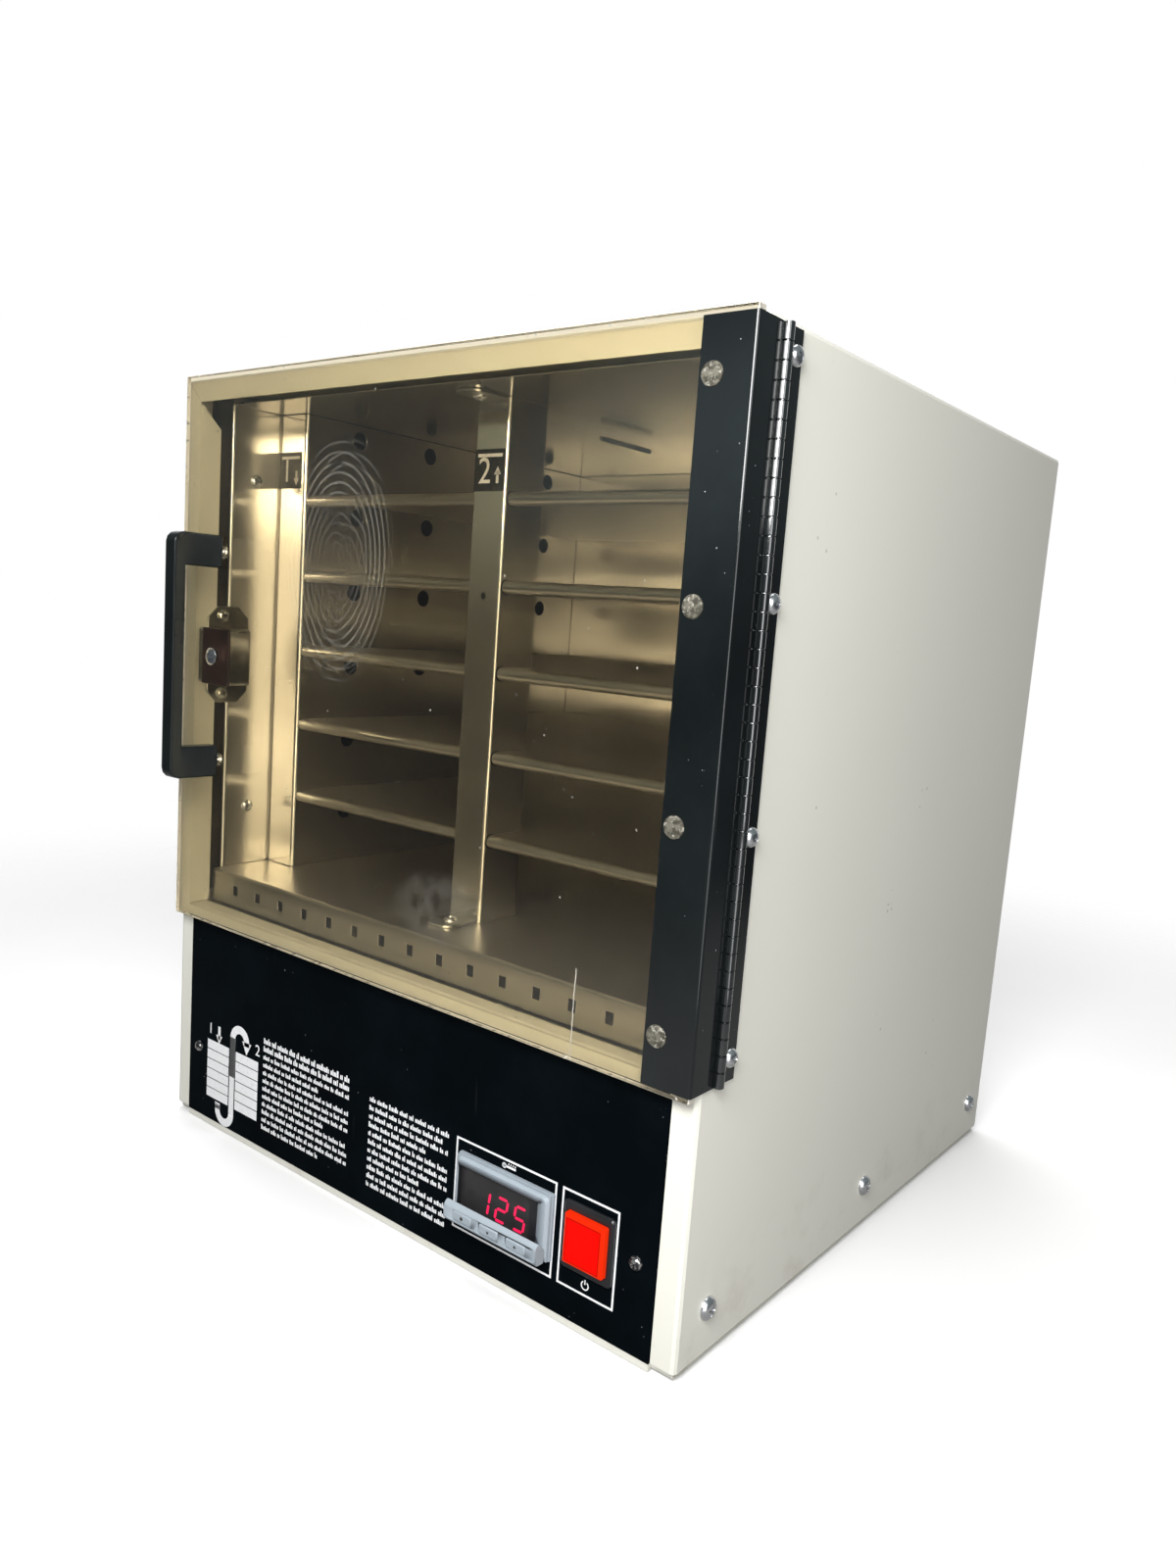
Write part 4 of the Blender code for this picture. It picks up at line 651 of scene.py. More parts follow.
def settle(name, bm, paint, smooth=32.0):
    """Turn a finished bmesh into an object at the origin."""
    bmesh.ops.remove_doubles(bm, verts=bm.verts, dist=MERGE)
    bmesh.ops.recalc_face_normals(bm, faces=bm.faces)
    mesh = bpy.data.meshes.new(name)
    bm.to_mesh(mesh)
    bm.free()
    mesh.materials.append(finish(paint))
    mesh.polygons.foreach_set("use_smooth", [True] * len(mesh.polygons))
    mesh.set_sharp_from_angle(angle=math.radians(smooth))
    piece = bpy.data.objects.new(name, mesh)
    bpy.context.scene.collection.objects.link(piece)
    return piece


def mount(piece, body, slot, *nodes):
    """Ride a piece on its body and hide the CAD nodes that it stands for; the slot is not used."""
    flat = piece.modifiers.new("flat faces", "WEIGHTED_NORMAL")
    flat.keep_sharp = True
    flat.weight = 80
    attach(piece, body)
    if nodes:
        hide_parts(*nodes)
    return piece


def copy_of(node):
    """A merged copy of a CAD node's mesh."""
    bm = bmesh.new()
    bm.from_mesh(frame["nodes"][node].data)
    bmesh.ops.remove_doubles(bm, verts=bm.verts, dist=MERGE)
    bmesh.ops.join_triangles(bm, faces=bm.faces, angle_face_threshold=math.radians(0.5),
                             angle_shape_threshold=math.radians(170.0))
    return bm


def dress(node, paint, slot, ease=0.0, smooth=32.0, steps=2):
    """A merged copy of a CAD node with eased edges, in the node's place."""
    piece = settle(node + "_dressed", copy_of(node), paint, smooth)
    if ease:
        bevel = piece.modifiers.new("eased edges", "BEVEL")
        bevel.width = ease
        bevel.segments = steps
        bevel.limit_method = "ANGLE"
        bevel.angle_limit = math.radians(40.0)
        bevel.use_clamp_overlap = True
    return mount(piece, frame["nodes"][node]["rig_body"], slot, node)


def box_of(bm, low, high):
    """Add a block between two corners."""
    size = Vector(high) - Vector(low)
    matrix = Matrix.Translation((Vector(low) + Vector(high)) / 2) @ Matrix.Diagonal((*size, 1.0))
    return bmesh.ops.create_cube(bm, size=1.0, matrix=matrix)["verts"]


def turned(axis, at):
    """A matrix that lays the Z axis along an axis and moves the origin to a point."""
    return Matrix.Translation(at) @ Vector((0, 0, 1)).rotation_difference(Vector(axis)).to_matrix().to_4x4()


def lathe(bm, profile, axis=(0.0, 0.0, 1.0), at=(0.0, 0.0, 0.0)):
    """Spin a profile of radii and heights round an axis through a point."""
    place = turned(axis, at)
    made = [bm.verts.new(place @ Vector((radius, 0.0, height))) for radius, height in profile]
    edges = [bm.edges.new(pair) for pair in zip(made, made[1:])]
    bmesh.ops.spin(bm, geom=made + edges, axis=axis, cent=at, angle=math.tau, steps=detail_of().turns,
                   use_merge=True)


def ease_edges(bm, edges, width):
    """Round some edges of a shape."""
    bmesh.ops.bevel(bm, geom=edges, offset=width, segments=2, profile=0.5, affect="EDGES", material=-1)


def sharp_edges(bm):
    """The edges at which a shape turns by more than about sixty degrees."""
    return [edge for edge in bm.edges if edge.calc_face_angle(0.0) > 1.0]


def trim(bm, at, out, fill):
    """Cut away what lies on the outer side of a plane, and close the cut with a fill operator."""
    cut = bmesh.ops.bisect_plane(bm, geom=[*bm.verts, *bm.edges, *bm.faces], dist=MERGE, clear_outer=True,
                                 plane_co=at, plane_no=out)
    fill(bm, edges=[item for item in cut["geom_cut"] if isinstance(item, bmesh.types.BMEdge)])


def carve(bm, tool):
    """Cut a tool's bmesh out of a bmesh, and return the result."""
    pair = []
    for part in (bm, tool):
        bmesh.ops.remove_doubles(part, verts=part.verts, dist=MERGE)
        bmesh.ops.recalc_face_normals(part, faces=part.faces)
        mesh = bpy.data.meshes.new("carving")
        part.to_mesh(mesh)
        part.free()
        made = bpy.data.objects.new("carving", mesh)
        bpy.context.scene.collection.objects.link(made)
        pair.append(made)
    cut = pair[0].modifiers.new("cut", "BOOLEAN")
    cut.operation = "DIFFERENCE"
    cut.solver = "EXACT"
    cut.object = pair[1]
    graph = bpy.context.evaluated_depsgraph_get()
    graph.update()
    result = bmesh.new()
    result.from_mesh(pair[0].evaluated_get(graph).to_mesh())
    for made in pair:
        bpy.data.objects.remove(made)
    return result


def cross_screw(radius, rise, at, axis, spin=0.0):
    """A domed screw head with a cross recess, seated at a point and facing along an axis."""
    head = bmesh.new()
    dome = ((0.0, 1.0), (0.30, 0.985), (0.58, 0.90), (0.82, 0.68), (0.96, 0.36), (1.0, 0.10), (1.0, 0.0),
            (0.0, 0.0))
    lathe(head, [(radius * out, rise * up) for out, up in dome])
    tool = bmesh.new()
    reach, width, depth = radius * detail_of().recess, radius * 0.18, rise * 0.75
    box_of(tool, (-width / 2, -width / 2, rise - depth), (width / 2, width / 2, rise * 1.3))
    tool.normal_update()
    walls = [face for face in tool.faces if abs(face.normal.z) < 0.5]
    for arm in bmesh.ops.extrude_discrete_faces(tool, faces=walls)["faces"]:
        bmesh.ops.translate(tool, verts=arm.verts, vec=arm.normal * (reach - width / 2))
    deep = [v for v in tool.verts if v.co.z < rise - depth / 2]
    bmesh.ops.scale(tool, verts=deep, vec=(0.5, 0.5, 1.0))
    bmesh.ops.rotate(tool, verts=tool.verts, cent=(0, 0, 0), matrix=Matrix.Rotation(spin, 3, "Z"))
    bm = carve(head, tool)
    bmesh.ops.transform(bm, verts=bm.verts, matrix=turned(axis, at))
    return bm


def screw_over(node, paint, slot, axis, seat, spin=0.0):
    """A cross-recessed screw in place of a CAD screw, seated on the plane that the CAD head sits on."""
    low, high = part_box(node)
    axis = Vector(axis)
    along = max(range(3), key=lambda i: abs(axis[i]))
    radius = max(high[i] - low[i] for i in range(3) if i != along) / 2
    tip = high[along] if axis[along] > 0 else low[along]
    at = (low + high) / 2
    at[along] = seat
    piece = settle(node + "_head", cross_screw(radius, abs(tip - seat), at, axis, spin), paint, 40.0)
    return mount(piece, frame["nodes"][node]["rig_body"], slot, node)


def print_frame(bm, low, high, line):
    """Add a flat outline that looks along -Y."""
    face = print_bar(bm, low, high)
    bmesh.ops.inset_region(bm, faces=[face], thickness=line, use_even_offset=True, use_boundary=True)
    bmesh.ops.delete(bm, geom=[face], context="FACES_ONLY")


def print_bar(bm, low, high):
    """Add a flat bar that looks along -Y."""
    middle = ((low[0] + high[0]) / 2, 0.0, (low[1] + high[1]) / 2)
    size = Matrix.Diagonal((high[0] - low[0], high[1] - low[1], 1.0, 1.0))
    place = Matrix.Translation(middle) @ Matrix.Rotation(math.pi / 2, 4, "X") @ size
    bar = bmesh.ops.create_grid(bm, x_segments=1, y_segments=1, size=0.5, matrix=place)["verts"]
    return bar[0].link_faces[0]


def print_point(bm, at, size, way):
    """Add a flat triangle that points up or down."""
    turn = Matrix.Rotation(math.pi / 2, 4, "X") @ Matrix.Rotation(0.0 if way > 0 else math.pi, 4, "Z")
    bmesh.ops.create_circle(bm, cap_ends=True, radius=size, segments=3,
                            matrix=Matrix.Translation((at[0], 0.0, at[1])) @ turn)


def print_arrow(bm, at, height, way):
    """Add a flat arrow that points up or down, centred on a point."""
    stem = height * 0.14
    print_bar(bm, (at[0] - stem, at[1] - height / 2), (at[0] + stem, at[1] + height / 2))
    print_point(bm, (at[0], at[1] + way * height * 0.40), height * 0.42, way)


def print_arc(bm, at, radius, line, first, turn):
    """Add a flat arc round a point, from an angle and through a turn."""
    spoke = [bm.verts.new((at[0] + math.cos(first) * r, 0.0, at[1] + math.sin(first) * r))
             for r in (radius - line / 2, radius + line / 2)]
    bmesh.ops.spin(bm, geom=[*spoke, bm.edges.new(spoke)], axis=(0, -1, 0), cent=(at[0], 0.0, at[1]),
                   angle=turn, steps=detail_of().turns)


def lay_print(name, bm, level, body, slot, paint="print_white", rise=DECAL):
    """Give a flat shape its thickness and lay it on a face that looks along -Y."""
    bm.normal_update()
    bmesh.ops.reverse_faces(bm, faces=[f for f in bm.faces if f.normal.y > 0])
    bmesh.ops.solidify(bm, geom=list(bm.faces), thickness=rise)
    bmesh.ops.translate(bm, verts=bm.verts, vec=(0.0, level - max(v.co.y for v in bm.verts), 0.0))
    return mount(settle(name, bm, paint), body, slot)


def flat_text(bm, words, height, at):
    """Add flat lettering that looks along -Y, centred on a point."""
    curve = bpy.data.curves.new("lettering", "FONT")
    curve.body = words
    curve.align_x = "CENTER"
    curve.align_y = "CENTER"
    curve.size = height * 1.37
    carrier = bpy.data.objects.new("lettering", curve)
    bpy.context.scene.collection.objects.link(carrier)
    graph = bpy.context.evaluated_depsgraph_get()
    graph.update()
    mesh = bpy.data.meshes.new_from_object(carrier.evaluated_get(graph))
    bpy.data.objects.remove(carrier)
    mesh.transform(Matrix.Translation(at) @ Matrix.Rotation(math.pi / 2, 4, "X"))
    bm.from_mesh(mesh)
    bpy.data.meshes.remove(mesh)


# Operators


class CABINET_OT_stage(bpy.types.Operator):
    """Floor, world, lamps and the camera at the photograph's viewing angle"""

    bl_idname = "cabinet.stage"
    bl_label = "Studio"

    CAMERA = (0.36603, -0.49201, 0.27881)
    AIM = (-0.6102, 0.7797, -0.1406)
    ROLL = 4.19
    LENS = 26.065
    CLIP = 0.01
    LAMPS = (
        ("key_softbox", (1.28, -1.00, 0.54), (0.05, -0.12, 0.24), (0.80, 1.20), 180.0, 11.5),
        ("near_softbox", (0.29, -0.56, 0.47), (0.04, -0.12, 0.20), (0.24, 0.24), 180.0, 4.9),
        ("low_softbox", (0.42, -0.55, 0.065), (-0.14, -0.13, 0.14), (0.40, 0.12), 60.0, 0.05),
    )
    WINDOW = (-0.50, -0.866, 0.0)
    SUN = (0.35, -0.22, -1.0)
    SUN_STRENGTH = 2.3
    SUN_ANGLE = 50.0

    def execute(self, context):
        """Build the studio round the cabinet."""
        scene = context.scene
        scene.view_settings.view_transform = "Standard"
        self.floor(detail_of().floor_size)
        self.world(scene)
        for name, at, aim, size, spread, power in self.LAMPS:
            lamp = bpy.data.lights.new(name, "AREA")
            lamp.shape = "RECTANGLE"
            lamp.size, lamp.size_y = size
            lamp.spread = math.radians(spread)
            lamp.energy = power
            self.hang(scene, lamp, at, Vector(aim) - Vector(at))
        sun = bpy.data.lights.new("overhead", "SUN")
        sun.energy = self.SUN_STRENGTH
        sun.angle = math.radians(self.SUN_ANGLE)
        self.hang(scene, sun, (0.0, 0.0, 0.0), Vector(self.SUN))
        camera = bpy.data.cameras.new("camera")
        camera.lens = self.LENS
        camera.clip_start = self.CLIP
        scene.camera = self.hang(scene, camera, self.CAMERA, Vector(self.AIM), self.ROLL)
        return {"FINISHED"}

    def hang(self, scene, data, at, way, roll=0.0):
        """Put a lamp or the camera at a point, facing a way and rolled by some degrees."""
        holder = bpy.data.objects.new(data.name, data)
        holder.location = at
        holder.rotation_mode = "QUATERNION"
        holder.rotation_quaternion = way.to_track_quat("-Z", "Y") @ Quaternion((0, 0, 1), math.radians(roll))
        scene.collection.objects.link(holder)
        return holder

    def floor(self, reach):
        """A round pale sheet under the cabinet, whose rim fades into the backdrop."""
        bm = bmesh.new()
        bmesh.ops.create_circle(bm, cap_ends=True, radius=reach, segments=64)
        settle("floor", bm, "studio_floor")

    def world(self, scene):
        """White to the eye and behind the cabinet, dimmer in front of it, with a pale window for mirrors."""
        world = bpy.data.worlds.new("studio")
        world.use_nodes = True
        scene.world = world
        studio = Paint.of_tree(world.node_tree)
        sky = world.node_tree.nodes["Background"]
        way = studio.node("ShaderNodeTexCoord", {}, {}, "Generated")
        ahead = (self.AIM[0], self.AIM[1], 0.0)
        back = studio.along(way, ahead).above(0.66, 0.20)
        rise = studio.node("ShaderNodeSeparateXYZ", {}, {0: way}, 2)
        facing = studio.along(way, self.WINDOW)
        dim = studio.mix((0.055, 0.060, 0.066), (0.17, 0.20, 0.21), rise.above(0.10, 0.14))
        dim = studio.mix(dim, (0.68, 0.82, 0.85), facing.above(0.972, 0.014) * rise.above(0.10, 0.12))
        shown = studio.mix(dim, (1.0, 1.0, 1.0), back)
        eye = studio.node("ShaderNodeLightPath", {}, {}, "Is Camera Ray")
        shown = studio.mix(shown, (1.0, 1.0, 1.0), eye)
        studio.join(sky.inputs["Color"], studio.mix((0.10, 0.10, 0.10), shown, studio.seen()))
        sky.inputs["Strength"].default_value = 1.0


class CABINET_OT_shell(bpy.types.Operator):
    """Enamelled wrapper, base pan, rails and rear panel"""

    bl_idname = "cabinet.shell"
    bl_label = "Shell"

    def execute(self, context):
        """Dress the outer sheet metal."""
        for node in ("outer_wrapper", "base_pan", "rear_panel", "base_rail_left", "base_rail_right"):
            dress(node, "cream_enamel", "cream_paint", detail_of().sheet_ease)
        return {"FINISHED"}


class CABINET_OT_chamber(bpy.types.Operator):
    """Stainless chamber with its insulation, heater and probe"""

    bl_idname = "cabinet.chamber"
    bl_label = "Chamber"

    TUBE = 0.0012

    def execute(self, context):
        """Dress the liner and what lies round it."""
        dress("chamber_liner", "wall_steel", "stainless", detail_of().sheet_ease)
        dress("chamber_ceiling", "ceiling_steel", "stainless", detail_of().sheet_ease)
        dress("chamber_floor", "shelf_steel", "stainless", detail_of().sheet_ease)
        dress("insulation_jacket", "glass_wool", "insulation")
        dress("heater_plate", "heater_rubber", "heater_mat", 0.0004)
        self.probe()
        return {"FINISHED"}

    def probe(self):
        """A thin probe tube under the ceiling."""
        low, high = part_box("temperature_probe")
        middle, reach = (low + high) / 2, high.y - low.y
        bm = bmesh.new()
        lathe(bm, [(0.0, 0.0), (self.TUBE * 0.7, 0.0), (self.TUBE, self.TUBE * 0.4), (self.TUBE, reach),
                   (0.0, reach)], axis=(0, 1, 0), at=(middle.x, low.y, middle.z))
        mount(settle("probe_tube", bm, "wall_steel", 40.0), CABINET, "stainless", "temperature_probe")


class CABINET_OT_rack(bpy.types.Operator):
    """Air ducts, centre post, rolled shelves and numbered column labels"""

    bl_idname = "cabinet.rack"
    bl_label = "Rack"

    LABELS = (("1", -0.1452, 0.3465, -1), ("2", -0.0008, 0.3433, 1))
    LABEL_SIZE = 0.0186
    NUMBER_AT = (-0.0030, -0.0008)
    NUMBER_SIZE = 0.0120
    ARROW_AT = (0.0050, -0.0030)
    ARROW_SIZE = 0.0056
    POST_HOLE = (-0.0003, 0.2873)
    HOLE = 0.0016
    HOLE_EASE = 0.0001
    COLLAR = 0.0002
    COLLAR_GROW = 1.16
    HEM = 0.0009

    def execute(self, context):
        """Dress the rack and label its columns."""
        for node in ("air_duct_left", "air_duct_right", "centre_post"):
            dress(node, "wall_steel", "stainless", detail_of().sheet_ease)
        for number in range(1, 6):
            node = "shelf_" + str(number)
            dress(node, "shelf_steel", "stainless", 0.0, 35.0)
            self.collar(node)
        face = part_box("air_duct_left")[0].y
        for words, x, z, way in self.LABELS:
            self.label(words, x, z, way, face)
        # Painted shade: a flat black disc on the post stands for the dark inside of its hole
        bm = bmesh.new()
        lathe(bm, [(0.0, DECAL), (self.HOLE - self.HOLE_EASE, DECAL), (self.HOLE, 0.0), (0.0, 0.0)],
              axis=(0, -1, 0), at=(self.POST_HOLE[0], face, self.POST_HOLE[1]))
        mount(settle("post_hole", bm, "moulded_black"), CABINET, "black_plastic")
        self.hems()
        return {"FINISHED"}

    def collar(self, node):
        """A black ring as painted shade in the gap round a shelf's roll where it leaves the post."""
        low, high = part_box(node)
        roll = (high.z - low.z) / 2
        rim = roll * self.COLLAR_GROW
        bm = bmesh.new()
        lathe(bm, [(roll, 0.0), (rim, 0.0), (rim, self.COLLAR), (roll, self.COLLAR), (roll, 0.0)],
              axis=(1, 0, 0), at=(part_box("centre_post")[1].x, low.y + roll, low.z + roll))
        mount(settle(node + "_collar", bm, "moulded_black"), CABINET, "black_plastic")

    def hems(self):
        """A folded hem down each front edge of the liner."""
        low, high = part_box("chamber_liner")
        ground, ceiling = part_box("chamber_floor")[1].z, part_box("chamber_ceiling")[0].z
        bm = bmesh.new()
        for x in (low.x + self.HEM * 0.7, high.x - self.HEM * 0.7):
            lathe(bm, [(0.0, ground), (self.HEM, ground), (self.HEM, ceiling), (0.0, ceiling)],
                  at=(x, low.y + self.HEM * 0.4, 0.0))
        mount(settle("liner_hems", bm, "hem_steel", 40.0), CABINET, "stainless")

    def label(self, words, x, z, way, face):
        """A black square with a plain number and an arrow."""
        half = self.LABEL_SIZE / 2
        bm = bmesh.new()
        print_bar(bm, (x - half, z - half), (x + half, z + half))
        lay_print("column_label_" + words, bm, face, CABINET, "black_plastic", "label_black")
        bm = bmesh.new()
        flat_text(bm, words, self.NUMBER_SIZE, (x + self.NUMBER_AT[0], 0.0, z + self.NUMBER_AT[1]))
        print_arrow(bm, (x + self.ARROW_AT[0], z + self.ARROW_AT[1]), self.ARROW_SIZE, way)
        print_bar(bm, (x - half * 0.8, z + half * 0.62), (x + half * 0.8, z + half * 0.78))
        lay_print("column_mark_" + words, bm, face - DECAL, CABINET, "black_plastic")


class CABINET_OT_door(bpy.types.Operator):
    """Bronze pane, pull handle and strike"""

    bl_idname = "cabinet.door"
    bl_label = "Door"

    def execute(self, context):
        """Dress the door."""
        dress("door_pane", "bronze_pane", "bronze_acrylic", 0.0, 5.0)
        dress("pull_handle", "handle_black", "black_plastic", 0.0006, 40.0, 3)
        dress("handle_screw_1", "zinc_bright", "zinc_plate")
        dress("handle_screw_2", "zinc_bright", "zinc_plate")
        dress("strike_plate", "strike_oxide", "strike_paint", 0.0003)
        dress("strike_bolt", "zinc_bright", "zinc_plate", 0.0003)
        return {"FINISHED"}


class CABINET_OT_hinge(bpy.types.Operator):
    """Continuous hinge with its knuckles, pin, rivets and screws"""

    bl_idname = "cabinet.hinge"
    bl_label = "Hinge"

    KNUCKLE = 0.00635
    GAP = 0.00034
    SHEET = 0.0009
    BORE = 0.00115
    BEND = 0.0014
    LEAF_EASE = 0.00018
    ANGLE_EASE = 0.00014
    BARREL_EASE = 0.00022

    def execute(self, context):
        """Model the two leaves with their knuckles and set the fasteners."""
        leaf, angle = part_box("hinge_leaf"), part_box("hinge_angle")
        radius, outside = leaf[1].x - PIN.x, leaf[0].x + self.SHEET
        bm = bmesh.new()
        box_of(bm, (leaf[0].x, PIN.y, leaf[0].z), (outside, leaf[1].y, leaf[1].z))
        ease_edges(bm, sharp_edges(bm), self.LEAF_EASE)
        self.knuckles(bm, leaf, radius, 0)
        mount(settle("hinge_leaf_curled", bm, "hinge_black", 40.0), CABINET, "black_paint", "hinge_leaf")
        bm = self.fold(angle, outside)
        self.knuckles(bm, angle, radius, 1)
        mount(settle("hinge_angle_curled", bm, "hinge_black", 40.0), DOOR, "black_paint", "hinge_angle")
        dress("hinge_pin", "zinc_bright", "zinc_plate", 0.0, 40.0)
        for number in range(1, 5):
            self.rivet("rivet_" + str(number))
            screw_over("hinge_screw_" + str(number), "zinc_bright", "zinc_plate", (1, 0, 0), outside,
                       0.5 + 0.9 * number)
        return {"FINISHED"}

    def fold(self, angle, outside):
        """The door's angle, folded from one sheet."""
        low, high = angle
        face, side = low.y + self.SHEET / 2, outside - self.SHEET / 2
        bm = bmesh.new()
        path = [bm.verts.new((x, y, low.z)) for x, y in ((low.x, face), (side, face), (side, PIN.y))]
        edges = [bm.edges.new(path[:2]), bm.edges.new(path[1:])]
        raised = bmesh.ops.extrude_edge_only(bm, edges=edges)["geom"]
        bmesh.ops.translate(bm, verts=[v for v in raised if isinstance(v, bmesh.types.BMVert)],
                            vec=(0.0, 0.0, high.z - low.z))
        bend = [edge for edge in bm.edges if len(edge.link_faces) == 2]
        bmesh.ops.bevel(bm, geom=bend, offset=self.BEND, segments=5, profile=0.5, affect="EDGES", material=-1)
        bmesh.ops.recalc_face_normals(bm, faces=bm.faces)
        bmesh.ops.solidify(bm, geom=list(bm.faces), thickness=self.SHEET)
        over = outside - max(v.co.x for v in bm.verts)
        shift = low.y - min(v.co.y for v in bm.verts)
        bmesh.ops.translate(bm, verts=bm.verts, vec=(over, shift, 0.0))
        ease_edges(bm, sharp_edges(bm), self.ANGLE_EASE)
        return bm

    def knuckles(self, bm, span, radius, first):
        """Add every second barrel of the hinge."""
        count = round((span[1].z - span[0].z) / self.KNUCKLE)
        ease = self.BARREL_EASE
        for i in range(first, count, 2):
            low = span[0].z + i * self.KNUCKLE + self.GAP / 2
            high = low + self.KNUCKLE - self.GAP
            lathe(bm, [(self.BORE, low), (radius - ease, low), (radius, low + ease), (radius, high - ease),
                       (radius - ease, high), (self.BORE, high), (self.BORE, low)], at=(PIN.x, PIN.y, 0.0))

    def rivet(self, node):
        """A pressed rivet with a flattened crown, and its tail behind the pane."""
        low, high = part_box(node)
        middle, radius = (low + high) / 2, (high.x - low.x) / 2
        seat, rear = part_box("hinge_angle")[0].y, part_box("door_pane")[1].y
        rise, tail = seat - low.y, high.y - rear
        bm = bmesh.new()
        lathe(bm, [(0.0, rise * 0.30), (radius * 0.70, rise * 0.32), (radius * 0.92, rise * 0.27),
                   (radius * 0.98, rise * 0.18), (radius, rise * 0.05), (radius, 0.0), (0.0, 0.0)],
              axis=(0, -1, 0), at=(middle.x, seat, middle.z))
        lathe(bm, [(0.0, tail), (radius * 0.8, tail), (radius, tail * 0.6), (radius, 0.0), (0.0, 0.0)],
              axis=(0, 1, 0), at=(middle.x, rear, middle.z))
        mount(settle(node + "_set", bm, "rivet_metal", 50.0), DOOR, "rivet_alloy", node)


class CABINET_OT_catch(bpy.types.Operator):
    """Magnetic catch on the left jamb"""

    bl_idname = "cabinet.catch"
    bl_label = "Catch"

    def execute(self, context):
        """Dress the catch."""
        dress("catch_plate", "dull_zinc", "zinc_plate", 0.0003)
        dress("catch_magnet", "dull_zinc", "zinc_plate", 0.0006)
        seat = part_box("catch_plate")[1].x
        for number in (1, 2):
            screw_over("catch_screw_" + str(number), "dull_zinc", "zinc_plate", (1, 0, 0), seat, 0.4 * number)
        return {"FINISHED"}


class CABINET_OT_screws(bpy.types.Operator):
    """Cross-recessed screws of the shell, the panel, the liner and the back"""

    bl_idname = "cabinet.screws"
    bl_label = "Screws"

    SIDES = (("left", -1), ("right", 1))
    LINER = ((-0.1238, 0.339), (-0.1238, 0.167))
    LINER_SHEET = 0.0008
    SHEET_SCREW = (0.0034, 0.0019)
    POST_SETBACK = 0.0105
    POST_TAB = 0.0013
    POST_SCREW = (0.0033, 0.0017)
    REAR = ((-0.155, 0.030), (-0.155, 0.194), (-0.155, 0.358), (0.155, 0.030), (0.155, 0.194), (0.155, 0.358))

    def execute(self, context):
        """Set each screw on the face that it holds."""
        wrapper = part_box("outer_wrapper")
        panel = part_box("control_panel")[0].y
        for number in (1, 2, 3):
            for side, way in self.SIDES:
                screw_over("side_screw_%s_%d" % (side, number), "zinc_bright", "zinc_plate", (way, 0, 0),
                           way * wrapper[1].x, 0.35 * number + way)
        for side, _ in self.SIDES:
            screw_over("panel_screw_" + side, "worn_black", "black_paint", (0, -1, 0), panel, 0.6)
        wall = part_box("chamber_liner")[1].x - self.LINER_SHEET
        for side, way in self.SIDES:
            for y, z in self.LINER:
                self.small("liner_screw_%s_%d" % (side, z * 1000), self.SHEET_SCREW, (way * wall, y, z),
                           (-way, 0, 0))
        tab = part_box("centre_post")[0].y + self.POST_SETBACK
        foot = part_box("chamber_floor")[1].z + self.POST_TAB
        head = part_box("chamber_ceiling")[0].z - self.POST_TAB
        self.small("post_screw_foot", self.POST_SCREW, (0.0, tab, foot), (0, 0, 1))
        self.small("post_screw_head", self.POST_SCREW, (0.0, tab, head), (0, 0, -1))
        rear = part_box("rear_panel")[1].y
        for number, (x, z) in enumerate(self.REAR, start=1):
            self.small("rear_screw_" + str(number), self.SHEET_SCREW, (x, rear, z), (0, 1, 0))
        return {"FINISHED"}

    def small(self, name, size, at, axis):
        """Add one screw that the frame leaves out."""
        mount(settle(name, cross_screw(*size, at, axis, 0.7), "zinc_bright", 40.0), CABINET, "zinc_plate")


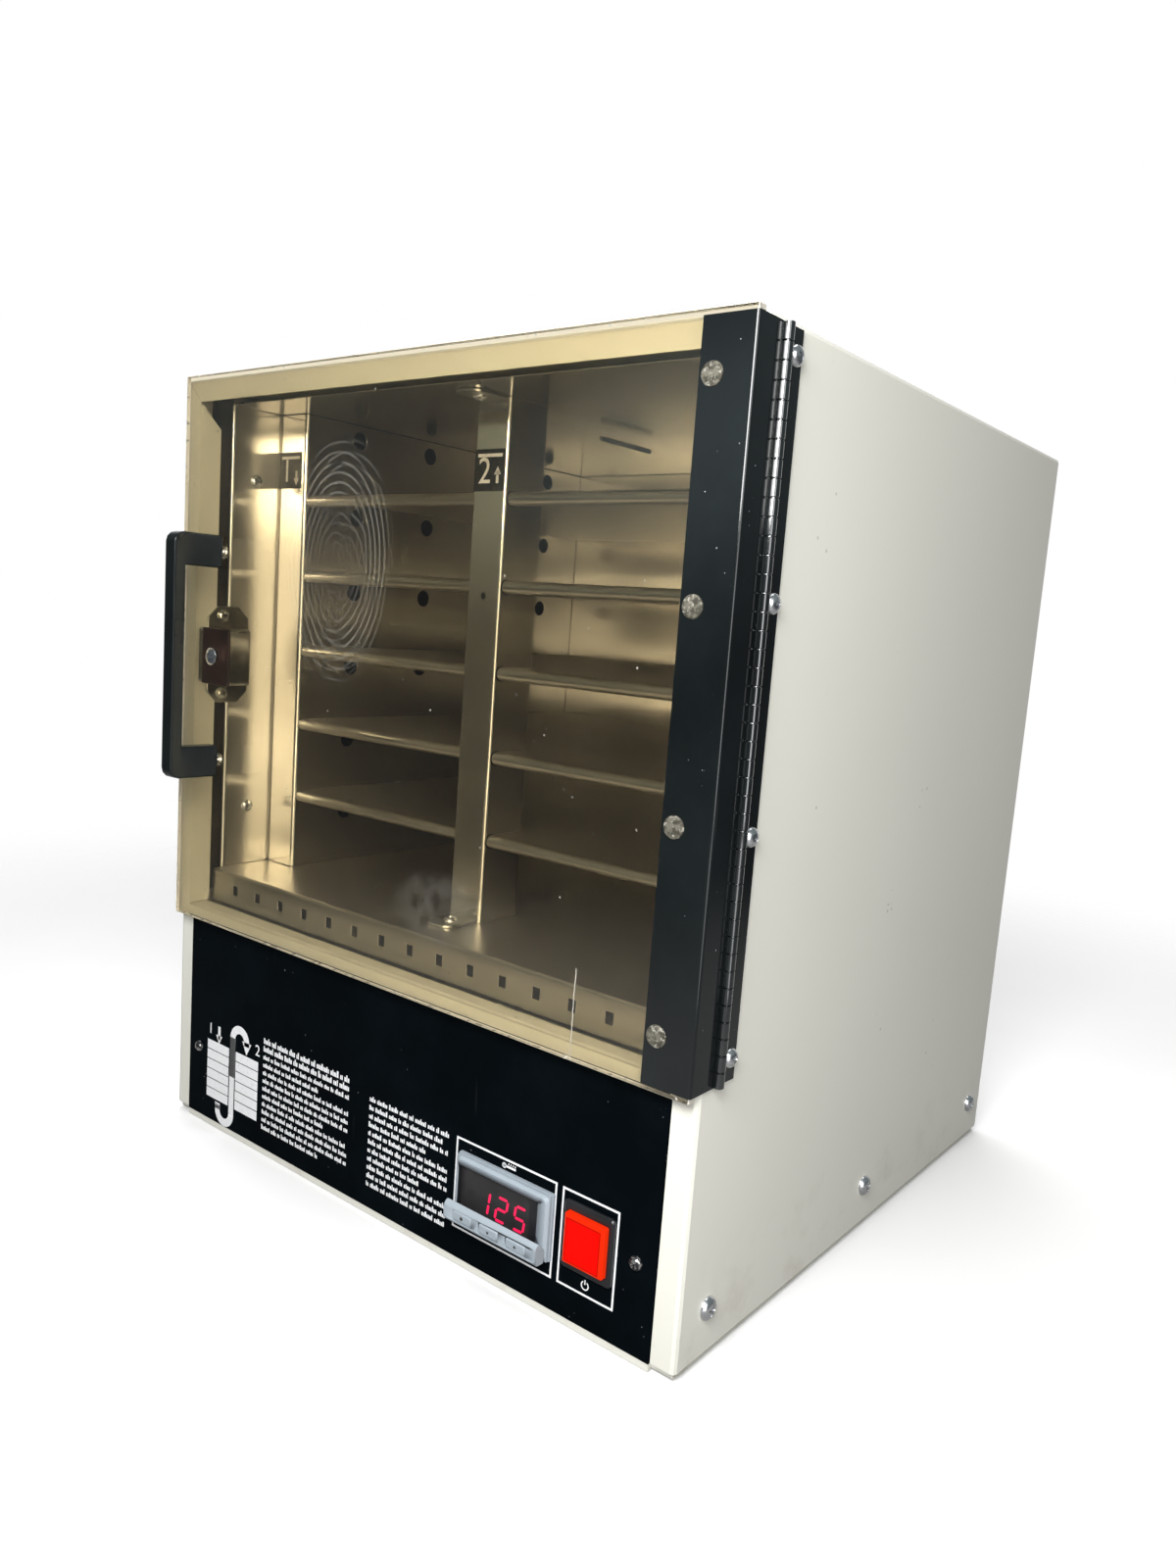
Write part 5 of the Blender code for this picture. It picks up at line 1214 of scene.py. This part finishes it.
class CABINET_OT_panel(bpy.types.Operator):
    """Control panel and its plain printed marks"""

    bl_idname = "cabinet.panel"
    bl_label = "Control panel"

    SILL_GAP = 0.0003
    SILL_EASE = 0.0004
    FOOT = 0.0036
    FRAMES = (((0.0477, 0.0169), (0.1041, 0.0580)), ((0.1070, 0.0169), (0.1355, 0.0578)))
    STACKS = (-0.1372, -0.1122)
    STACK_ROWS = 6
    STACK_WIDTH = 0.0190
    STACK_PITCH = 0.0053
    STACK_BOTTOM = 0.0160
    STACK_TOP = STACK_BOTTOM + STACK_ROWS * STACK_PITCH
    NUMBER_SIZE = 0.0060
    NUMBERS = (("1", 0.0024, 0.0055), ("2", 0.0182, 0.0052))
    ARROW_AT = (0.0100, 0.0050)
    ARROW_SIZE = 0.0072
    FLOW_LINE = 0.0042
    FLOW_TURN = 0.0060
    FLOW_DROP = 0.0042
    FLOW_RISE = 0.0058
    FLOW_TAIL = 0.0030
    FLOW_NECK = 0.0012
    FLOW_POINT = 0.0044
    RULED = ((-0.0890, -0.0230, 0.0612, 12, 2), (-0.0085, 0.0435, 0.0575, 11, 0))
    RULE_PITCH = 0.0041
    RULE_BASE = 0.0016
    ROW_ENDS = (1.0, 0.93, 0.97, 0.66)
    BOLD = (0.0012, 0.0019)
    PLAIN = (0.0010, 0.0015)
    STROKES = (0.75, 0.6, 0.9, 0.5, 0.8, 0.65, 1.0, 0.55, 0.7, 0.85, 0.6, 0.95)
    RISES = (1.5, 1.1, 1.1, 1.7, 1.1, 1.2, 1.1, 1.7, 1.1, 1.1, 1.5, 1.1, 1.1)
    WORDS = (5, 3, 7, 4, 2, 6, 3, 8, 5, 2, 4, 7, 6)
    STROKE_GAP = 0.00028
    WORD_GAP = 0.0010
    GAUGE_AT = (0.0755, 0.0548)
    STANDBY_AT = (0.1213, 0.0214)

    def execute(self, context):
        """Dress the panel and lay the print on it."""
        self.sill()
        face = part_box("control_panel")[0].y
        for draw in (self.outlines, self.stacks, self.flow, self.rules, self.signs):
            bm = bmesh.new()
            draw(bm)
            lay_print("panel_" + draw.__name__, bm, face, CABINET, "black_paint")
        return {"FINISHED"}

    def sill(self):
        """The panel between the door and its foot, and the enamelled sill and foot strip beside it."""
        low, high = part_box("control_panel")
        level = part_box("door_pane")[0].z - self.SILL_GAP
        bm = copy_of("control_panel")
        trim(bm, (0.0, 0.0, level), (0.0, 0.0, 1.0), bmesh.ops.holes_fill)
        trim(bm, (0.0, 0.0, self.FOOT), (0.0, 0.0, -1.0), bmesh.ops.holes_fill)
        mount(settle("control_panel_plate", bm, "panel_black"), CABINET, "black_paint", "control_panel")
        bm = bmesh.new()
        box_of(bm, (low.x, low.y, level), (high.x, high.y, high.z))
        ease_edges(bm, list(bm.edges), self.SILL_EASE)
        box_of(bm, (low.x, low.y + self.SILL_GAP, self.SILL_GAP), (high.x, high.y, self.FOOT - self.SILL_GAP))
        mount(settle("door_sill", bm, "cream_enamel"), CABINET, "cream_paint")

    def outlines(self, bm):
        """A box round each control."""
        for low, high in self.FRAMES:
            print_frame(bm, low, high, detail_of().print_line)

    def stacks(self, bm):
        """Two stacks of bars for the two columns of the rack, each with its number."""
        for left in self.STACKS:
            for row in range(self.STACK_ROWS):
                low = self.STACK_BOTTOM + row * self.STACK_PITCH
                print_bar(bm, (left, low), (left + self.STACK_WIDTH, low + self.STACK_PITCH * 0.91))
        for left, (words, x, z) in zip(self.STACKS, self.NUMBERS):
            flat_text(bm, words, self.NUMBER_SIZE, (left + x, 0.0, self.STACK_TOP + z))
        arrow = (self.STACKS[0] + self.ARROW_AT[0], self.STACK_TOP + self.ARROW_AT[1])
        print_arrow(bm, arrow, self.ARROW_SIZE, -1)

    def flow(self, bm):
        """A line that leaves the first stack below and enters the second from above."""
        middle = (self.STACKS[0] + self.STACK_WIDTH + self.STACKS[1]) / 2
        low, high = self.STACK_BOTTOM - self.FLOW_DROP, self.STACK_TOP + self.FLOW_RISE
        half, turn = self.FLOW_LINE / 2, self.FLOW_TURN
        first, last = middle - 2 * turn, middle + 2 * turn
        print_bar(bm, (middle - half, low), (middle + half, high))
        print_arc(bm, (middle - turn, low), turn, self.FLOW_LINE, 0.0, -math.pi)
        print_arc(bm, (middle + turn, high), turn, self.FLOW_LINE, math.pi, -math.pi)
        print_bar(bm, (first - half, low), (first + half, low + self.FLOW_TAIL))
        print_bar(bm, (last - half, high - self.FLOW_NECK), (last + half, high))
        print_point(bm, (last, high - self.FLOW_NECK), self.FLOW_POINT, -1)

    def rules(self, bm):
        """Two blocks of rows of plain strokes."""
        turn = word = 0
        for left, right, top, rows, bold in self.RULED:
            for row in range(rows):
                base = top - (row + 1) * self.RULE_PITCH + self.RULE_BASE
                width, height = self.BOLD if row < bold else self.PLAIN
                at = left
                end = left + (right - left) * self.ROW_ENDS[row % len(self.ROW_ENDS)]
                while at < end:
                    for _ in range(self.WORDS[word % len(self.WORDS)]):
                        wide = self.STROKES[turn % len(self.STROKES)] * width
                        tall = self.RISES[turn % len(self.RISES)] * height
                        if at + wide < right:
                            print_bar(bm, (at, base), (at + wide, base + tall))
                        at += wide + self.STROKE_GAP
                        turn += 1
                    at += self.WORD_GAP
                    word += 1

    def signs(self, bm):
        """A thermometer over the display and the standby sign under the switch."""
        x, z = self.GAUGE_AT
        print_arc(bm, (x, z), 0.0006, 0.0012, 0.0, math.tau)
        print_bar(bm, (x + 0.0008, z - 0.00045), (x + 0.0064, z + 0.00045))
        for number in range(4):
            tick = x + 0.0022 + 0.0012 * number
            print_bar(bm, (tick, z + 0.0008), (tick + 0.0004, z + 0.0016))
        x, z = self.STANDBY_AT
        print_arc(bm, (x, z), 0.0017, 0.0005, math.radians(58.0), -math.radians(296.0))
        print_bar(bm, (x - 0.00025, z + 0.0004), (x + 0.00025, z + 0.0024))


class CABINET_OT_controller(bpy.types.Operator):
    """Temperature controller with its lit display and three keys"""

    bl_idname = "cabinet.controller"
    bl_label = "Controller"

    BARS = {"0": "abcdef", "1": "bc", "2": "abged", "3": "abgcd", "4": "fgbc", "5": "afgcd", "6": "afgedc",
            "7": "abc", "8": "abcdefg", "9": "abcdfg"}
    SLANT = 0.13
    PITCH = 0.0100
    LAST = 0.0871
    LEVEL = 0.0361
    WINDOW_BOTTOM = 0.0285
    WINDOW_FACE = 0.0011
    WALL = 0.0004
    SKIN = WALL * 0.9
    SIDE_BAR = 0.0052
    STEP = 0.0020
    STEPS = ((0.0003, 0.0030), (0.0006, 0.0016))
    LIP_SLOPE = 0.0034

    def execute(self, context):
        """Model the bezel, lip and window, and light the digits."""
        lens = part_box("display_lens")
        self.bezel(lens)
        self.lip()
        for number in (1, 2, 3):
            dress("controller_key_" + str(number), "bezel_grey", "controller_grey", 0.0002, 40.0)
            self.key_mark(number)
        face = lens[0].y + self.WINDOW_FACE
        self.window(lens, face)
        self.digits(detail_of().reading, face)
        return {"FINISHED"}

    def bezel(self, lens):
        """The grey bezel in two steps, with a deep pocket for the window."""
        bm = copy_of("controller")
        low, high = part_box("controller")
        tool = bmesh.new()
        box_of(tool, (lens[0].x - self.WALL, low.y - 0.002, self.WINDOW_BOTTOM),
               (lens[1].x + self.WALL, lens[1].y + self.WALL, lens[1].z + self.WALL))
        piece = settle("controller_bezel", carve(bm, tool), "bezel_grey", 40.0)
        mount(piece, CABINET, "controller_grey", "controller")
        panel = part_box("control_panel")[0].y
        for number, (grow, reach) in enumerate(self.STEPS, start=1):
            bm = bmesh.new()
            print_frame(bm, (low.x - grow, low.z - grow), (high.x + grow, high.z + grow), self.STEP)
            lay_print("controller_step_" + str(number), bm, panel, CABINET, "controller_grey", "bezel_grey",
                      reach)

    def lip(self):
        """The flap over the keys, sloped behind so that the window shows above it."""
        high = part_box("controller_lip")[1]
        bm = copy_of("controller_lip")
        trim(bm, (0.0, high.y, high.z - self.LIP_SLOPE), (0.0, 1.0, 1.0), bmesh.ops.edgeloop_fill)
        mount(settle("controller_flap", bm, "bezel_grey", 40.0), CABINET, "controller_grey", "controller_lip")

    def key_mark(self, number):
        """A small dark sign on a key: a dot, a fall and a rise."""
        low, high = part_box("controller_key_" + str(number))
        at = ((low.x + high.x) / 2, (low.z + high.z) / 2)
        bm = bmesh.new()
        if number == 1:
            print_arc(bm, at, 0.0004, 0.0008, 0.0, math.tau)
        else:
            print_point(bm, at, 0.0009, number * 2 - 5)
        lay_print("key_mark_" + str(number), bm, low.y, "key_" + str(number), "black_plastic", "label_black")

    def window(self, lens, face):
        """The smoked window between black side bars at the bottom of the pocket."""
        low, high = lens
        bottom, bar, top = self.WINDOW_BOTTOM, high.x - self.SIDE_BAR, high.z + self.SKIN
        bm = bmesh.new()
        box_of(bm, (low.x, face, bottom + self.WALL), (bar, high.y, high.z))
        mount(settle("display_window", bm, "display_smoke"), CABINET, "display_window", "display_lens")
        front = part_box("controller")[0].y + self.WALL
        bm = bmesh.new()
        box_of(bm, (bar, face - self.WALL, bottom), (high.x, high.y, high.z))
        for x in (low.x - self.SKIN, high.x):
            box_of(bm, (x, front, bottom), (x + self.SKIN, high.y, top))
        box_of(bm, (low.x, front, high.z), (high.x, high.y, top))
        mount(settle("display_surround", bm, "moulded_black"), CABINET, "black_plastic")

    def digits(self, reading, face):
        """Seven-segment digits just in front of the smoked window."""
        height = detail_of().digit_height
        half, wide, line = height / 2, height * 0.27, height * 0.115
        bars = {"a": (0, half, 0), "d": (0, -half, 0), "g": (0, 0, 0), "f": (-wide, half / 2, 1),
                "b": (wide, half / 2, 1), "e": (-wide, -half / 2, 1), "c": (wide, -half / 2, 1)}
        bm = bmesh.new()
        for number, digit in enumerate(reversed(reading)):
            for bar in self.BARS[digit]:
                x, z, upright = bars[bar]
                reach = (half if upright else 2 * wide) / 2 - line * 0.35
                size = (line / 2, reach) if upright else (reach, line / 2)
                stroke = print_bar(bm, (x - size[0], z - size[1]), (x + size[0], z + size[1]))
                for v in stroke.verts:
                    v.co.x += self.LAST - number * self.PITCH + self.SLANT * v.co.z
                    v.co.z += self.LEVEL
        bmesh.ops.bevel(bm, geom=list(bm.verts), offset=line * 0.35, segments=1, profile=0.5,
                        affect="VERTICES", material=-1)
        lay_print("display_digits", bm, face, CABINET, "display_window", "digit_glow")


class CABINET_OT_switch(bpy.types.Operator):
    """Lit power button in its bezel, and the mains inlet on the back"""

    bl_idname = "cabinet.switch"
    bl_label = "Switch and inlet"

    PINS = ((-0.0070, -0.0025), (0.0070, -0.0025), (0.0, 0.0030))
    PIN_HALF = (0.0010, 0.0020)
    PIN_DEPTHS = (0.0158, 0.0040)
    PIN_EASE = 0.0003

    def execute(self, context):
        """Dress the electrical fittings."""
        dress("switch_bezel", "moulded_black", "black_plastic", 0.0005)
        dress("power_button", "lamp_red", "button_red", 0.0010, 40.0, 3)
        dress("power_inlet", "moulded_black", "black_plastic", 0.0004)
        self.pins()
        return {"FINISHED"}

    def pins(self):
        """Three flat pins in the well of the inlet."""
        low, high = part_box("power_inlet")
        wide, tall = self.PIN_HALF
        root, tip = (high.y - depth for depth in self.PIN_DEPTHS)
        bm = bmesh.new()
        for right, up in self.PINS:
            x, z = (low.x + high.x) / 2 + right, (low.z + high.z) / 2 + up
            box_of(bm, (x - wide, root, z - tall), (x + wide, tip, z + tall))
        ease_edges(bm, list(bm.edges), self.PIN_EASE)
        mount(settle("inlet_pins", bm, "zinc_bright"), CABINET, "zinc_plate")


OPERATORS = (CABINET_OT_stage, CABINET_OT_shell, CABINET_OT_chamber, CABINET_OT_rack, CABINET_OT_door,
             CABINET_OT_hinge, CABINET_OT_catch, CABINET_OT_screws, CABINET_OT_panel, CABINET_OT_controller,
             CABINET_OT_switch)


class CABINET_PT_build(bpy.types.Panel):
    """Sizes, colours and building steps of the cabinet"""

    bl_idname = "CABINET_PT_build"
    bl_label = "Warming cabinet"
    bl_space_type = "VIEW_3D"
    bl_region_type = "UI"
    bl_category = "Cabinet"

    def draw(self, context):
        """List the steps and the values."""
        for step in OPERATORS:
            self.layout.operator(step.bl_idname)
        for group in (context.scene.cabinet_finish, context.scene.cabinet_detail):
            column = self.layout.column(align=True)
            for key in group.bl_rna.properties.keys():
                if key not in ("rna_type", "name"):
                    column.prop(group, key)


CLASSES = (CabinetFinish, CabinetDetail, *OPERATORS, CABINET_PT_build)


def register():
    """Add the classes and the scene's value groups."""
    for item in CLASSES:
        bpy.utils.register_class(item)
    bpy.types.Scene.cabinet_finish = PointerProperty(type=CabinetFinish)
    bpy.types.Scene.cabinet_detail = PointerProperty(type=CabinetDetail)


def unregister():
    """Take the classes and the value groups away."""
    del bpy.types.Scene.cabinet_detail
    del bpy.types.Scene.cabinet_finish
    for item in reversed(CLASSES):
        bpy.utils.unregister_class(item)


def main():
    """Build the cabinet in order."""
    register()
    for step in OPERATORS:
        group, name = step.bl_idname.split(".")
        getattr(getattr(bpy.ops, group), name)()


if __name__ == "__main__":
    main()
